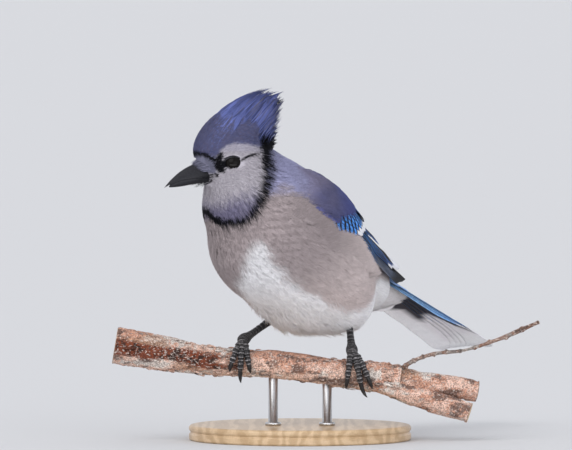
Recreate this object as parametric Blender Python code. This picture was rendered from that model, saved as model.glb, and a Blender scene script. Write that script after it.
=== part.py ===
"""A life-size blue jay, perched on a cut length of branch that two short rods hold over a round base.

Sizes are in metres, +Z is up and the origin is the middle of the base's underside. The bird is drawn in two frames of
its own: the body's, and the head's, which is turned to the bird's right. Both count forward, left and up.
"""

import math

import bmesh
import bpy
import numpy as np
from mathutils import Matrix, Vector

MM = 0.001
GAP = 0.3 * MM
BODY_HEADING = math.radians(55)
HEAD_HEADING = math.radians(18)
HEAD_TURN = BODY_HEADING - HEAD_HEADING

# Driving sizes of the bird
TORSO_LENGTH = 94 * MM
TORSO_WIDTH = 74 * MM
HEAD_LENGTH = 38 * MM
HEAD_WIDTH = 30 * MM
BILL_LENGTH = 26 * MM
WING_LENGTH = 128 * MM
TAIL_LENGTH = 121 * MM
EYE_RADIUS = 4.3 * MM
VANE_THICKNESS = 0.55 * MM
BODY_RINGS = 40
BODY_SEGMENTS = 28

# Driving sizes of the perch and its stand
BASE_RADIUS = 58 * MM
BASE_HEIGHT = 8 * MM
ROD_RADIUS = 2.5 * MM
ROD_SPACING = 28 * MM
SOCKET_DEPTH = 4 * MM
PERCH_Y = -8 * MM

UP = np.array([0.0, 0.0, 1.0])
BODY_AXES = np.array(
    [
        [-math.cos(BODY_HEADING), -math.sin(BODY_HEADING), 0.0],
        [math.sin(BODY_HEADING), -math.cos(BODY_HEADING), 0.0],
        [0.0, 0.0, 1.0],
    ]
)
HEAD_AXES = np.array(
    [
        [-math.cos(HEAD_HEADING), -math.sin(HEAD_HEADING), 0.0],
        [math.sin(HEAD_HEADING), -math.cos(HEAD_HEADING), 0.0],
        [0.0, 0.0, 1.0],
    ]
)


def bird(forward, left, up):
    """A point of the body's frame, given in millimetres, in the world."""
    return np.array([forward, left, up]) * MM @ BODY_AXES


HEAD_CENTRE = bird(45, -7, 143)


def head(forward, left, up):
    """A point of the head's frame, given in millimetres, in the world."""
    return HEAD_CENTRE + np.array([forward, left, up]) * MM @ HEAD_AXES


# The plumage's outer shape is a few egg-shaped forms that flow into one another:
# centre (mm), half sizes (forward, left, up) and how far the form's front is raised, in degrees.
TORSO_FORMS = {
    "breast": (bird(27, 0, 108), (0.351, 0.432, 0.38), 30),
    "belly": (bird(-1, 0, 91), (0.489, 0.486, 0.34), 28),
    "back": (bird(5, 0, 112), (0.479, 0.392, 0.235), 34),
    "rump": (bird(-42, 0, 89), (0.266, 0.27, 0.14), 25),
    "vent": (bird(-49, 0, 79), (0.266, 0.19, 0.115), 16),
    "left_thigh": (bird(-22, 15, 70), (0.138, 0.14, 0.12), 20),
    "right_thigh": (bird(-14, -16, 70), (0.16, 0.14, 0.12), 20),
    "nape": (bird(36, -3, 128), (0.223, 0.284, 0.235), 40),
}
HEAD_FORMS = {
    "skull": (head(0, 0, 0), (0.5, 0.5, 0.42), 0),
    "cheek": (head(1, 0, -8), (0.42, 0.55, 0.4), 0),
    "throat": (head(2.5, 0, -20), (0.42, 0.55, 0.4), 0),
    "brow": (head(11, 0, 8), (0.33, 0.333, 0.29), -10),
    "crown": (head(6, 0, 15.5), (0.5, 0.36, 0.35), -38),
    "crest_core": (head(-3, 0, 23), (0.42, 0.2, 0.25), -36),
}


def placed_forms(forms, axes, length, width):
    """Each form as (centre, half sizes, axes). Its sizes are shares of the length, the width and the length."""
    placed = []
    for centre, shares, raised in forms.values():
        tilt = math.radians(raised)
        turn = np.array([[math.cos(tilt), 0, math.sin(tilt)], [0, 1, 0], [-math.sin(tilt), 0, math.cos(tilt)]])
        sizes = np.array([shares[0] * length, shares[1] * width, shares[2] * length])
        placed.append((centre, sizes, turn @ axes))
    return placed


def joined(near, far, blend):
    """The smaller of two distances, rounded where they are alike."""
    share = np.clip(0.5 + 0.5 * (near - far) / blend, 0, 1)
    return near * (1 - share) + far * share - blend * share * (1 - share)


def distance(points, forms, blend):
    """About how far points lie outside the forms; negative inside."""
    total = None
    for centre, sizes, axes in forms:
        local = (points - centre) @ axes.T
        reach = np.linalg.norm(local / sizes, axis=-1)
        slope = np.linalg.norm(local / sizes**2, axis=-1) + 1e-9
        here = reach * (reach - 1) / slope
        total = here if total is None else joined(total, here, blend)
    return total


TORSO = placed_forms(TORSO_FORMS, BODY_AXES, TORSO_LENGTH, TORSO_WIDTH)
HEAD = placed_forms(HEAD_FORMS, HEAD_AXES, HEAD_LENGTH, HEAD_WIDTH)
TORSO_BLEND = 12 * MM
HEAD_BLEND = 5 * MM
NECK_BLEND = 8 * MM


def torso_distance(points):
    return distance(points, TORSO, TORSO_BLEND)


def body_distance(points):
    return joined(torso_distance(points), distance(points, HEAD, HEAD_BLEND), NECK_BLEND)


# A line runs inside the body from the bill to the tail. Each row is the share of the way, the place, how much the
# section there turns with the head, and how steeply its back side rises.
BODY_LINE = (
    (0.00, head(10, 0, -1), 1.0, 62),
    (0.16, head(3, 0, -1), 1.0, 62),
    (0.30, head(-2, 0, -8), 0.85, 56),
    (0.42, bird(34, -4, 122), 0.5, 44),
    (0.55, bird(18, -1, 105), 0.15, 38),
    (0.70, bird(-5, 0, 92), 0.0, 44),
    (0.86, bird(-32, 0, 84), 0.0, 56),
    (1.00, bird(-50, 0, 82), 0.0, 66),
)
FRONT_CAP, BACK_CAP = 0.16, 0.86
BILL_DROP = math.radians(10)
TAIL_DROP = math.radians(17.5)


def line_at(share):
    """Place, turn and rise of the body's line at shares of its length."""
    marks = np.array([row[0] for row in BODY_LINE])
    places = np.array([row[1] for row in BODY_LINE])
    place = np.stack([np.interp(share, marks, places[:, k]) for k in range(3)], -1)
    turn = np.interp(share, marks, [row[2] for row in BODY_LINE])
    rise = np.radians(np.interp(share, marks, [row[3] for row in BODY_LINE]))
    return place, turn, rise


def section_axes(turn, rise):
    """Unit vectors to the back side, to the left and to the tail, in the world."""
    heading = BODY_HEADING - HEAD_TURN * turn
    forward = np.stack([-np.cos(heading), -np.sin(heading), 0 * heading], -1)
    left = np.stack([np.sin(heading), -np.cos(heading), 0 * heading], -1)
    cosine, sine = np.cos(rise)[:, None], np.sin(rise)[:, None]
    return -cosine * forward + sine * UP, left, -sine * forward - cosine * UP


def leaning(from_side, to_end, share):
    """Directions that lean from one vector towards another by a share of a right angle."""
    angle = share[:, None] * math.pi / 2
    mixed = from_side * np.cos(angle) + to_end * np.sin(angle)
    return mixed / np.linalg.norm(mixed, axis=1, keepdims=True)


def surface_along(origins, directions, outside, furthest=95 * MM, steps=64):
    """Where rays from inside leave the shape whose distance function is given."""
    step = furthest / steps
    low, high = np.zeros(len(origins)), np.full(len(origins), furthest)
    found = np.zeros(len(origins), bool)
    for number in range(1, steps + 1):
        out = outside(origins + directions * (number * step)) > 0
        new = out & ~found
        low[new], high[new] = (number - 1) * step, number * step
        found |= out
    for _ in range(14):
        middle = (low + high) / 2
        out = outside(origins + directions * middle[:, None]) > 0
        high = np.where(out, middle, high)
        low = np.where(out, low, middle)
    return origins + directions * low[:, None]


def body_points(share, around, off=0.0):
    """Points off above the plumage, at shares of the body's line and angles round it from the back to the left."""
    place, turn, rise = line_at(share)
    back, left, _ = section_axes(turn, rise)
    radial = np.cos(around)[:, None] * back + np.sin(around)[:, None] * left
    bill_way = np.array([math.cos(BILL_DROP), 0, -math.sin(BILL_DROP)]) @ HEAD_AXES
    tail_way = np.array([-math.cos(TAIL_DROP), 0, -math.sin(TAIL_DROP)]) @ BODY_AXES
    to_bill = leaning(radial, bill_way, np.clip(1 - share / FRONT_CAP, 0, 1))
    to_tail = leaning(radial, tail_way, np.clip((share - BACK_CAP) / (1 - BACK_CAP), 0, 1))
    directions = np.where((share < 0.5)[:, None], to_bill, to_tail)
    return surface_along(place, directions, lambda points: body_distance(points) - off)


def material(name, colour, roughness=0.6, metallic=0.0):
    made = bpy.data.materials.new(name)
    made.use_nodes = True
    shader = made.node_tree.nodes["Principled BSDF"]
    shader.inputs["Base Color"].default_value = (*colour, 1)
    shader.inputs["Roughness"].default_value = roughness
    shader.inputs["Metallic"].default_value = metallic
    return made


def new_collection(name):
    made = bpy.data.collections.new(name)
    bpy.context.scene.collection.children.link(made)
    return made


for old in list(bpy.data.objects):
    bpy.data.objects.remove(old)
JAY = new_collection("blue_jay")
PIECES = new_collection("pieces_to_join")

BLUE = material("crest_blue", (0.16, 0.2, 0.5), 0.6)
WING_BLUE = material("wing_blue", (0.1, 0.22, 0.6), 0.5)
GREY = material("breast_grey", (0.45, 0.42, 0.42), 0.75)
PALE = material("nape_grey_blue", (0.4, 0.4, 0.55), 0.7)
BLACK = material("bill_black", (0.03, 0.03, 0.035), 0.35)
EYE = material("eye_black", (0.012, 0.008, 0.006), 0.05)
LEG = material("leg_black", (0.05, 0.045, 0.045), 0.5)
CLAW = material("claw_black", (0.02, 0.02, 0.02), 0.3)
BARK = material("bark", (0.3, 0.2, 0.15), 0.85)
BASE = material("base_maple", (0.55, 0.42, 0.28), 0.4)
STEEL = material("rod_steel", (0.6, 0.6, 0.6), 0.3, 1.0)


def object_of(mesh_maker, name, finish, collection=None):
    """An object from a filled bmesh, which it frees."""
    mesh = bpy.data.meshes.new(name)
    mesh_maker.to_mesh(mesh)
    mesh_maker.free()
    made = bpy.data.objects.new(name, mesh)
    made.data.materials.append(finish)
    (collection or JAY).objects.link(made)
    return made


def facing_out(shape):
    """Turns the faces of a closed shape outwards, after its points have moved."""
    shape.normal_update()
    bmesh.ops.recalc_face_normals(shape, faces=shape.faces)
    return shape


def keep_largest(obj):
    """Keeps the closed surface with the most faces, and drops loose scraps and sealed hollows."""
    shape = bmesh.new()
    shape.from_mesh(obj.data)
    left, biggest = set(shape.faces), set()
    while left:
        group, front = set(), [left.pop()]
        while front:
            face = front.pop()
            group.add(face)
            for edge in face.edges:
                for other in edge.link_faces:
                    if other in left:
                        left.remove(other)
                        front.append(other)
        biggest = group if len(group) > len(biggest) else biggest
    bmesh.ops.delete(shape, geom=[face for face in shape.faces if face not in biggest], context="FACES")
    shape.to_mesh(obj.data)
    shape.free()


def apply_modifiers(obj):
    """Replaces an object's mesh by what its modifiers make of it."""
    bpy.context.view_layer.update()
    graph = bpy.context.evaluated_depsgraph_get()
    made = bpy.data.meshes.new_from_object(obj.evaluated_get(graph))
    obj.modifiers.clear()
    obj.data = made


def join_pieces(obj, pieces, solver="MANIFOLD"):
    """One Boolean union of obj with closed pieces, which are then removed."""
    group = bpy.data.collections.new(obj.name + "_pieces")
    PIECES.children.link(group)
    for piece in pieces:
        PIECES.objects.unlink(piece)
        group.objects.link(piece)
    union = obj.modifiers.new("join", "BOOLEAN")
    union.operand_type = "COLLECTION"
    union.collection = group
    union.operation = "UNION"
    union.solver = solver
    apply_modifiers(obj)
    for piece in list(group.objects):
        bpy.data.objects.remove(piece)
    bpy.data.collections.remove(group)
    keep_largest(obj)


def cut_away(obj, cutters):
    """Takes closed cutters out of obj, one after another, and removes them."""
    for cutter in cutters:
        cut = obj.modifiers.new("cut", "BOOLEAN")
        cut.object = cutter
        cut.operation = "DIFFERENCE"
        cut.solver = "MANIFOLD"
        apply_modifiers(obj)
        bpy.data.objects.remove(cutter)
    keep_largest(obj)


def sphere(name, centre, radius, finish, segments=16, rings=10, collection=None):
    shape = bmesh.new()
    bmesh.ops.create_uvsphere(shape, u_segments=segments, v_segments=rings, radius=radius)
    bmesh.ops.translate(shape, vec=Vector(centre), verts=shape.verts)
    return object_of(shape, name, finish, collection)


def ring_shares():
    """Shares of the body's line for the rings between its two poles, closer together over the head."""
    even = np.arange(1, BODY_RINGS) / BODY_RINGS
    return even**1.25


def body_shape(off=0.0):
    """The whole plumage as a UV sphere whose poles are drawn to the bill and the tail, or a shape off above it."""
    shape = bmesh.new()
    bmesh.ops.create_uvsphere(shape, u_segments=BODY_SEGMENTS, v_segments=BODY_RINGS, radius=1)
    shape.verts.ensure_lookup_table()
    unit = np.array([v.co[:] for v in shape.verts])
    ring = np.arccos(np.clip(unit[:, 2], -1, 1)) / math.pi * BODY_RINGS
    share = np.interp(ring, np.arange(BODY_RINGS + 1), [0, *ring_shares(), 1])
    around = np.arctan2(unit[:, 1], unit[:, 0])
    for vertex, point in zip(shape.verts, body_points(share, around, off)):
        vertex.co = point
    return facing_out(shape)


HEAD_CUT, NECK_CUT = 0.31, 0.47


def cut_plane(share):
    """A point and the tailward normal of the thin cut at a share of the body's line."""
    place, turn, rise = line_at(np.array([share]))
    return Vector(place[0]), Vector(section_axes(turn, rise)[2][0])


def between_cuts(shape, front=None, back=None):
    """Keeps what lies between two thin cuts and closes the cut faces."""
    for share, side in ((front, 1), (back, -1)):
        if share is None:
            continue
        point, normal = cut_plane(share)
        geometry = shape.verts[:] + shape.edges[:] + shape.faces[:]
        inward = normal * side
        bmesh.ops.bisect_plane(
            shape, geom=geometry, dist=1e-7, plane_co=point + inward * GAP / 2, plane_no=-inward, clear_outer=True
        )
        open_edges = [edge for edge in shape.edges if edge.is_boundary]
        bmesh.ops.holes_fill(shape, edges=open_edges)
    bmesh.ops.triangulate(shape, faces=[f for f in shape.faces if len(f.verts) > 4])
    return shape


def body_node(name, finish, front=None, back=None):
    return object_of(between_cuts(body_shape(), front, back), name, finish)


def clear_of_body(obj):
    """Cuts away whatever of obj lies in the plumage or within the thin gap over it."""
    cut_away(obj, [object_of(body_shape(1.3 * GAP), "grown_body", GREY, PIECES)])


# A vane is a thin closed blade: a grid that a place function bends, with the same triangles on both faces.
def vane(name, place, stations, across, finish, thickness=VANE_THICKNESS):
    """place(along, side) gives a point and the outward direction for along in 0..1 and side in -1..1."""
    shape = bmesh.new()
    bmesh.ops.create_grid(shape, x_segments=stations, y_segments=across, size=1)
    bmesh.ops.triangulate(shape, faces=shape.faces)
    shape.verts.ensure_lookup_table()
    under, count = list(shape.verts), len(shape.verts)
    frames = [place((v.co.x + 1) / 2, v.co.y) for v in under]
    rim = [edge for edge in shape.edges if edge.is_boundary]
    copied = bmesh.ops.duplicate(shape, geom=shape.verts[:] + shape.edges[:] + shape.faces[:])
    upper = [copied["vert_map"][v] for v in under]
    rim_above = [copied["edge_map"][edge] for edge in rim]
    for index in range(count):
        point, outward = frames[index]
        under[index].co = Vector(point - outward * thickness / 2)
        upper[index].co = Vector(point + outward * thickness / 2)
    bmesh.ops.bridge_loops(shape, edges=rim + rim_above)
    bmesh.ops.triangulate(shape, faces=[f for f in shape.faces if len(f.verts) > 3])
    facing_out(shape)
    return object_of(shape, name, finish, PIECES)


def vane_width(along, root=0.35, tip=0.3, widest=0.7):
    """A vane's half width at a share of its length, as a share of the greatest."""
    if along < widest:
        return root + (1 - root) * math.sin(along / widest * math.pi / 2)
    drop = (along - widest) / (1 - widest)
    return tip + (1 - tip) * math.sqrt(max(0.0, 1 - drop**2.2))


def unit(vector):
    return np.asarray(vector) / np.linalg.norm(vector)


# The folded wing lies on a chart: along from the bend to the tip, across towards the back, and off the body.
WING_BEND = (34, 33, 129)
WING_TIPS = {1: (-84, 10, 84), -1: (-84, 15, 84)}
WING_OUTWARD = (-0.1, 0.75, 0.65)
BED_MARGIN = 0.45 * MM
REST_HEIGHTS = (-13 * MM, -3.5 * MM)
REST_AT = (15 * MM, 70 * MM)
CHART_ALONG = np.arange(-6, 136, 3) * MM
CHART_ACROSS = np.arange(-18, 46, 3) * MM


class Wing:
    """A wing's chart on one side of the body: side is 1 on the left and -1 on the right."""

    def __init__(self, side):
        def to_world(forward, left, up):
            return bird(forward, side * left, up)

        self.origin = to_world(*WING_BEND)
        tip = to_world(*WING_TIPS[side])
        self.along = unit(tip - self.origin)
        outward = to_world(*WING_OUTWARD)
        self.outward = unit(outward - self.along * (outward @ self.along))
        self.across = np.cross(self.outward, self.along) * side
        self.heights = self.bed()

    def bed(self):
        """How high the body stands under the chart, with a level rest where the wing passes the body."""
        along, across = np.meshgrid(CHART_ALONG, CHART_ACROSS, indexing="ij")
        plane = self.origin + along[..., None] * self.along + across[..., None] * self.across
        flat = plane.reshape(-1, 3)
        rest = np.interp(along, REST_AT, REST_HEIGHTS)
        height = rest.reshape(-1).copy()
        found = np.zeros(len(flat), bool)
        for level in np.arange(40, -30, -0.5) * MM:
            inside = body_distance(flat + self.outward * level) < BED_MARGIN
            new = inside & ~found
            height[new] = level + 0.5 * MM
            found |= inside
        height = np.maximum(height, rest.reshape(-1)).reshape(along.shape)
        low = height.copy()
        for _ in range(3):
            padded = np.pad(height, 1, mode="edge")
            height = (padded[2:, 1:-1] + padded[:-2, 1:-1] + padded[1:-1, 2:] + padded[1:-1, :-2]) / 4
            height = np.maximum(height, low)
        return height

    def height(self, along, across):
        i = np.clip((along - CHART_ALONG[0]) / (3 * MM), 0, len(CHART_ALONG) - 1.001)
        j = np.clip((across - CHART_ACROSS[0]) / (3 * MM), 0, len(CHART_ACROSS) - 1.001)
        a, b = int(i), int(j)
        u, v = i - a, j - b
        grid = self.heights
        near = grid[a, b] * (1 - v) + grid[a, b + 1] * v
        far = grid[a + 1, b] * (1 - v) + grid[a + 1, b + 1] * v
        return near * (1 - u) + far * u

    def point(self, along, across, off):
        """A point off above the bed; the wing thins out at its front and towards the back of the bird."""
        front = np.clip((along + 4 * MM) / (18 * MM), 0, 1)
        upper = np.clip((26 * MM - across) / (14 * MM), 0, 1)
        base = self.origin + along * self.along + across * self.across
        return base + self.outward * (self.height(along, across) + off * (0.25 + 0.75 * front * upper))

    def normal(self, along, across):
        step = 1.5 * MM
        down = self.point(along + step, across, 0) - self.point(along - step, across, 0)
        over = self.point(along, across + step, 0) - self.point(along, across - step, 0)
        facing = unit(np.cross(down, over))
        return facing if facing @ self.outward > 0 else -facing


def wing_vane(wing, name, root, tip, width, off, tilt, curve, stations):
    """One feather on a wing's chart. root and tip are (along, across), off is its height, all in millimetres."""
    root, tip = np.array(root) * MM, np.array(tip) * MM
    course = tip - root
    sideways = np.array([-course[1], course[0]]) / np.linalg.norm(course)

    def place(share, side):
        half = width * MM / 2 * vane_width(share)
        spot = root + course * share + sideways * (curve * MM * math.sin(share * math.pi) + side * half)
        rise = off * MM + side * half * tilt + 0.25 * MM * (1 - side * side)
        sink = 1.3 * MM * max(0.0, 1 - share / 0.18)
        return wing.point(spot[0], spot[1], rise - sink), wing.normal(spot[0], spot[1])

    return vane(name, place, stations, 1, WING_BLUE)


# Rows of a folded wing: count, first and last root, first and last tip (along, across in mm), width, height off the
# bed, tilt of each vane, and grid. A row runs from the lower edge of the wing to the back.
WING_ROWS = {
    "primary": (5, (28, -9), (32, -4), (97, -8), (128, 1), 10, 0.8, 0.16, 3),
    "secondary": (4, (38, -4), (48, 9), (92, -2), (107, 8), 14, 2.1, 0.2, 3),
    "tertial": (3, (48, 11), (52, 19), (97, 13), (86, 21), 13, 3.1, 0.2, 3),
    "primary_covert": (2, (22, -8), (26, -5), (47, -9), (58, -5), 9, 2.6, 0.2, 2),
    "greater_covert": (6, (30, -4), (38, 20), (57, -4), (69, 20), 10, 3.6, 0.2, 2),
    "median_covert": (4, (18, -3), (25, 18), (40, -3), (49, 19), 12, 4.5, 0.2, 2),
    "lesser_covert": (3, (4, 0), (9, 12), (25, -1), (32, 16), 13, 5.0, 0.18, 2),
}
WING_PAD = (29, 6, 29, 14)


def wing_pad(wing, name):
    """The wing's own flesh and small coverts: a lens that lies on the body and carries the feathers' roots."""
    middle_along, middle_across, half_along, half_across = WING_PAD
    shape = bmesh.new()
    bmesh.ops.create_uvsphere(shape, u_segments=12, v_segments=6, radius=1)
    for vertex in shape.verts:
        x, y, z = vertex.co
        lean = middle_across + y * half_across + 0.15 * x * half_along
        thick = 4.6 * (0.5 + 0.5 * z)
        vertex.co = wing.point((middle_along + x * half_along) * MM, lean * MM, thick * MM)
    bmesh.ops.triangulate(shape, faces=shape.faces)
    facing_out(shape)
    return object_of(shape, name, WING_BLUE)


def make_wing(side, name):
    wing = Wing(side)
    pieces = []
    for row, (count, root_a, root_b, tip_a, tip_b, width, off, tilt, stations) in WING_ROWS.items():
        for number in range(count):
            share = number / (count - 1)
            root = np.array(root_a) * (1 - share) + np.array(root_b) * share
            tip = np.array(tip_a) * (1 - share) + np.array(tip_b) * share
            tip[0] += 1.2 * math.sin(number * 2.4)
            pieces.append(wing_vane(wing, f"{row}_{number}", root, tip, width, off, tilt, 1.0, stations))
    pad = wing_pad(wing, name)
    join_pieces(pad, pieces)
    clear_of_body(pad)
    return pad


# Tail feathers, from the middle pair outwards: each is the last one turned out, set lower and a little shorter.
TAIL_ROOT = (-46, 0, 86)
TAIL_PAIRS = 6
TAIL_PITCH_ROOT, TAIL_PITCH_TIP = 1.25, 3.1
TAIL_LAYER, TAIL_TILT = 0.42, 0.15
TAIL_ARCH = 0.0135
TAIL_VANE_WIDTH = 14


def tail_point(along, left, off):
    """A point of the tail: along from its root, left of its middle and off its upper face, in millimetres."""
    back, down = math.cos(TAIL_DROP), math.sin(TAIL_DROP)
    lift = off - TAIL_ARCH * left * left * min(1.0, max(0.0, along) / 60)
    root = TAIL_ROOT
    return bird(root[0] - along * back + lift * -down, root[1] + left, root[2] - along * down + lift * back)


def tail_normal(along, left):
    slope = 2 * TAIL_ARCH * left * min(1.0, max(0.0, along) / 60)
    back, down = math.cos(TAIL_DROP), math.sin(TAIL_DROP)
    return unit(np.array([-down, slope, back]) @ BODY_AXES)


def tail_vane(pair, side):
    """One tail feather: pair 0 is the middle one, side is 1 on the left."""
    length = TAIL_LENGTH / MM - 0.35 * pair * pair
    layer = -TAIL_LAYER * (2 * pair + (side < 0))

    def place(share, edge):
        along = share * length - 6 * (1 - share)
        middle = side * (0.5 + pair) * (TAIL_PITCH_ROOT * (1 - share) + TAIL_PITCH_TIP * share)
        half = TAIL_VANE_WIDTH / 2 * vane_width(share, 0.3, 0.35, 0.82)
        left = middle + edge * half
        off = layer + side * edge * half * TAIL_TILT
        return tail_point(along, left, off), tail_normal(along, left)

    return vane(f"tail_{pair}_{side}", place, 5, 1, BLUE)


# Rows of tail coverts: count, half spread at root and tip, along at root and tip, off the tail, width, in millimetres
TAIL_COVERTS = {
    "upper": (4, 5, 8.5, 20, 52, 1.6, 9),
    "under": (4, 6, 9.5, 20, 58, -6.8, 11),
}


def tail_covert(name, spread_root, spread_tip, start, end, off, width):
    def place(share, edge):
        along = start + (end - start) * share
        left = spread_root + (spread_tip - spread_root) * share + edge * width / 2 * vane_width(share, 0.6, 0.3, 0.6)
        height = off * (1 - 0.25 * share)
        return tail_point(along, left, height), tail_normal(along, left)

    return vane(name, place, 4, 1, BLUE)


def make_tail():
    """The tail's root with its twelve feathers and the coverts above and below fused in it."""
    shape = bmesh.new()
    bmesh.ops.create_uvsphere(shape, u_segments=16, v_segments=10, radius=1)
    for vertex in shape.verts:
        x, y, z = vertex.co
        vertex.co = tail_point(22 + 23 * x, 11 * y, -2.6 + 5.0 * z)
    facing_out(shape)
    root = object_of(shape, "tail", BLUE)
    pieces = [tail_vane(pair, side) for pair in range(TAIL_PAIRS) for side in (1, -1)]
    for word, (count, spread_root, spread_tip, start, end, off, width) in TAIL_COVERTS.items():
        for number in range(count):
            across = 2 * number / (count - 1) - 1
            tip = end - 7 * abs(across)
            here = off + 0.5 * number
            pieces.append(
                tail_covert(f"{word}_{number}", spread_root * across, spread_tip * across, start, tip, here, width)
            )
    join_pieces(root, pieces)
    clear_of_body(root)
    return root


# The crest's feathers, row by row from the forehead to the nape: the row's middle root, its tip, how far the row
# spreads sideways at root and tip, how many feathers stand in it, their width and their bow. In millimetres.
CREST_ROWS = (
    ((20, 12), (10, 28), 6.5, 5.5, 3, 8.5, 0.09),
    ((15, 19), (1, 33.5), 7.5, 5.0, 4, 7.5, 0.09),
    ((8, 23), (-10, 38), 6.0, 4.0, 3, 7.5, 0.08),
    ((1, 24), (-20, 40), 4.5, 2.2, 3, 6.0, 0.07),
    ((-5, 22), (-24, 37), 4.0, 2.2, 3, 6.0, 0.03),
    ((-9, 16), (-22, 30), 3.5, 2.2, 3, 6.0, -0.02),
)
CREST_BED = 12.0


def on_head(forward, left, up, off):
    """The point of the plumage that a line from the middle of the crown meets at a place, off above it, and the way."""
    centre = head(4, 0, CREST_BED)
    way = unit(head(forward, left, up) - centre)
    point = surface_along(centre[None], way[None], body_distance)[0]
    return point + way * off * MM, way


def crest_vane(name, root, tip, width, arch):
    """A crest feather from a root in the crown to its free tip, both given in the head's frame."""
    start, normal = on_head(*root, -1.2)
    end = head(*tip)
    way = end - start
    normal = unit(normal - unit(way) * (normal @ unit(way)))
    sideways = unit(np.cross(normal, way))

    def place(along, side):
        half = width / 2 * MM * vane_width(along, 0.6, 0.15, 0.4)
        bow = arch * np.linalg.norm(way) * math.sin(math.pi * along)
        droop = -0.5 * MM * side * side * math.sin(math.pi * along)
        return start + way * along + normal * (bow + droop) + sideways * side * half, normal

    return vane(name, place, 3, 1, BLUE)


def crest_vanes():
    made = []
    for row, (root, tip, spread_root, spread_tip, count, width, arch) in enumerate(CREST_ROWS):
        for number in range(count):
            side = 2 * number / (count - 1) - 1 + (0.12 if row % 2 else -0.12)
            drop = 5.5 * side * side
            at = (root[0] - 1.5 * side * side, spread_root * side, root[1] - drop)
            to = (tip[0] + 2.2 * abs(side), spread_tip * side, tip[1] - 0.75 * drop)
            made.append(crest_vane(f"crest_{row}_{number}", at, to, width, arch))
    return made


EYE_PLACE = (6.3, 10.9, 1.9)
LID_RADIUS, LID_TUBE, LID_OUT = 3.8, 0.9, 2.9


def lid_ring(side):
    """The bare rim of the eyelids, a ring round the eye."""
    forward, left, up = EYE_PLACE
    outward = unit(np.array([0.12, side, 0.03]) @ HEAD_AXES)
    bpy.ops.mesh.primitive_torus_add(
        major_radius=LID_RADIUS * MM,
        minor_radius=LID_TUBE * MM,
        major_segments=16,
        minor_segments=5,
        location=head(forward, side * left, up) + outward * LID_OUT * MM,
        rotation=Vector(outward).to_track_quat("Z", "Y").to_euler(),
    )
    ring = bpy.context.object
    for collection in list(ring.users_collection):
        collection.objects.unlink(ring)
    PIECES.objects.link(ring)
    ring.data.materials.append(BLACK)
    ring.data.transform(ring.matrix_basis)
    ring.matrix_basis = Matrix.Identity(4)
    return ring


def nasal_tuft(name, side, row):
    """One lock of the bristles that lie forward over the nostril."""
    root = head(15.5 - row * 0.8, side * (2.2 + 1.9 * row), 2.4 - 2.1 * row)
    tip = head(24.5 - row * 1.2, side * (1.6 + 1.5 * row), 1.4 - 2.2 * row)
    way = tip - root
    normal = unit(np.array([0.25, side * (0.35 + 0.3 * row), 0.8 - 0.3 * row]) @ HEAD_AXES)
    sideways = unit(np.cross(normal, way))

    def place(along, edge):
        half = 1.5 * MM * vane_width(along, 0.8, 0.15, 0.3)
        point = root + way * along + sideways * edge * half + normal * 0.5 * MM * math.sin(along * math.pi)
        return point, normal

    return vane(name, place, 3, 1, BLUE)


# Bill outline in the head's frame, in millimetres: forward, top, mouth line, bottom, half width.
BILL_SECTIONS = (
    (15.2, 3.0, -4.9, -8.4, 4.9),
    (20.0, 3.3, -5.4, -8.7, 4.4),
    (26.0, 1.9, -5.6, -9.5, 3.5),
    (31.5, -1.1, -6.4, -10.3, 2.5),
    (36.3, -5.0, -8.1, -10.5, 1.4),
    (39.2, -8.6, -9.9, -10.6, 0.7),
)
BILL_TIP = (40.6, -10.7)
LOWER_TIP = (37.6, -9.6)
MOUTH_GAP = 0.35


def bill_shape(sections, tip, upper):
    """Closed D-shaped sections, flat at the mouth line, drawn out to a tip."""
    count = 9
    rings = []
    shape = bmesh.new()
    for forward, top, mouth, bottom, half in sections:
        edge = mouth + (MOUTH_GAP / 2 if upper else -MOUTH_GAP / 2)
        reach = (top - edge) if upper else (bottom - edge)
        ring = []
        for step in range(count):
            angle = math.pi * step / (count - 1)
            side, rise = math.cos(angle), math.sin(angle) ** 0.8
            ring.append(shape.verts.new(head(forward, half * side, edge + reach * rise)))
        rings.append(ring)
    for near, far in zip(rings, rings[1:]):
        for step in range(count):
            after = (step + 1) % count
            shape.faces.new((near[step], near[after], far[after], far[step]))
    point = shape.verts.new(head(tip[0], 0, tip[1]))
    for step in range(count):
        shape.faces.new((rings[-1][step], rings[-1][(step + 1) % count], point))
    shape.faces.new(reversed(rings[0]))
    facing_out(shape)
    bmesh.ops.triangulate(shape, faces=shape.faces)
    return shape


def mandible(name, upper):
    """One half of the bill."""
    sections = BILL_SECTIONS if upper else BILL_SECTIONS[:-1]
    return object_of(bill_shape(sections, BILL_TIP if upper else LOWER_TIP, upper), name, BLACK)


def bill_sockets():
    """The hollows of the head that the two halves of the bill's base stand in."""
    made = []
    for upper in (True, False):
        sections = []
        for forward, top, mouth, bottom, half in BILL_SECTIONS[:4]:
            edge = mouth - 0.3 if upper else mouth + 0.3
            sections.append((forward, top + 0.4, edge, bottom - 0.4, half + 0.4))
        sections[0] = (sections[0][0] - 0.35, *sections[0][1:])
        made.append(object_of(bill_shape(sections, (34, -7.5), upper), "bill_socket", BLACK, PIECES))
    return made


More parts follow.
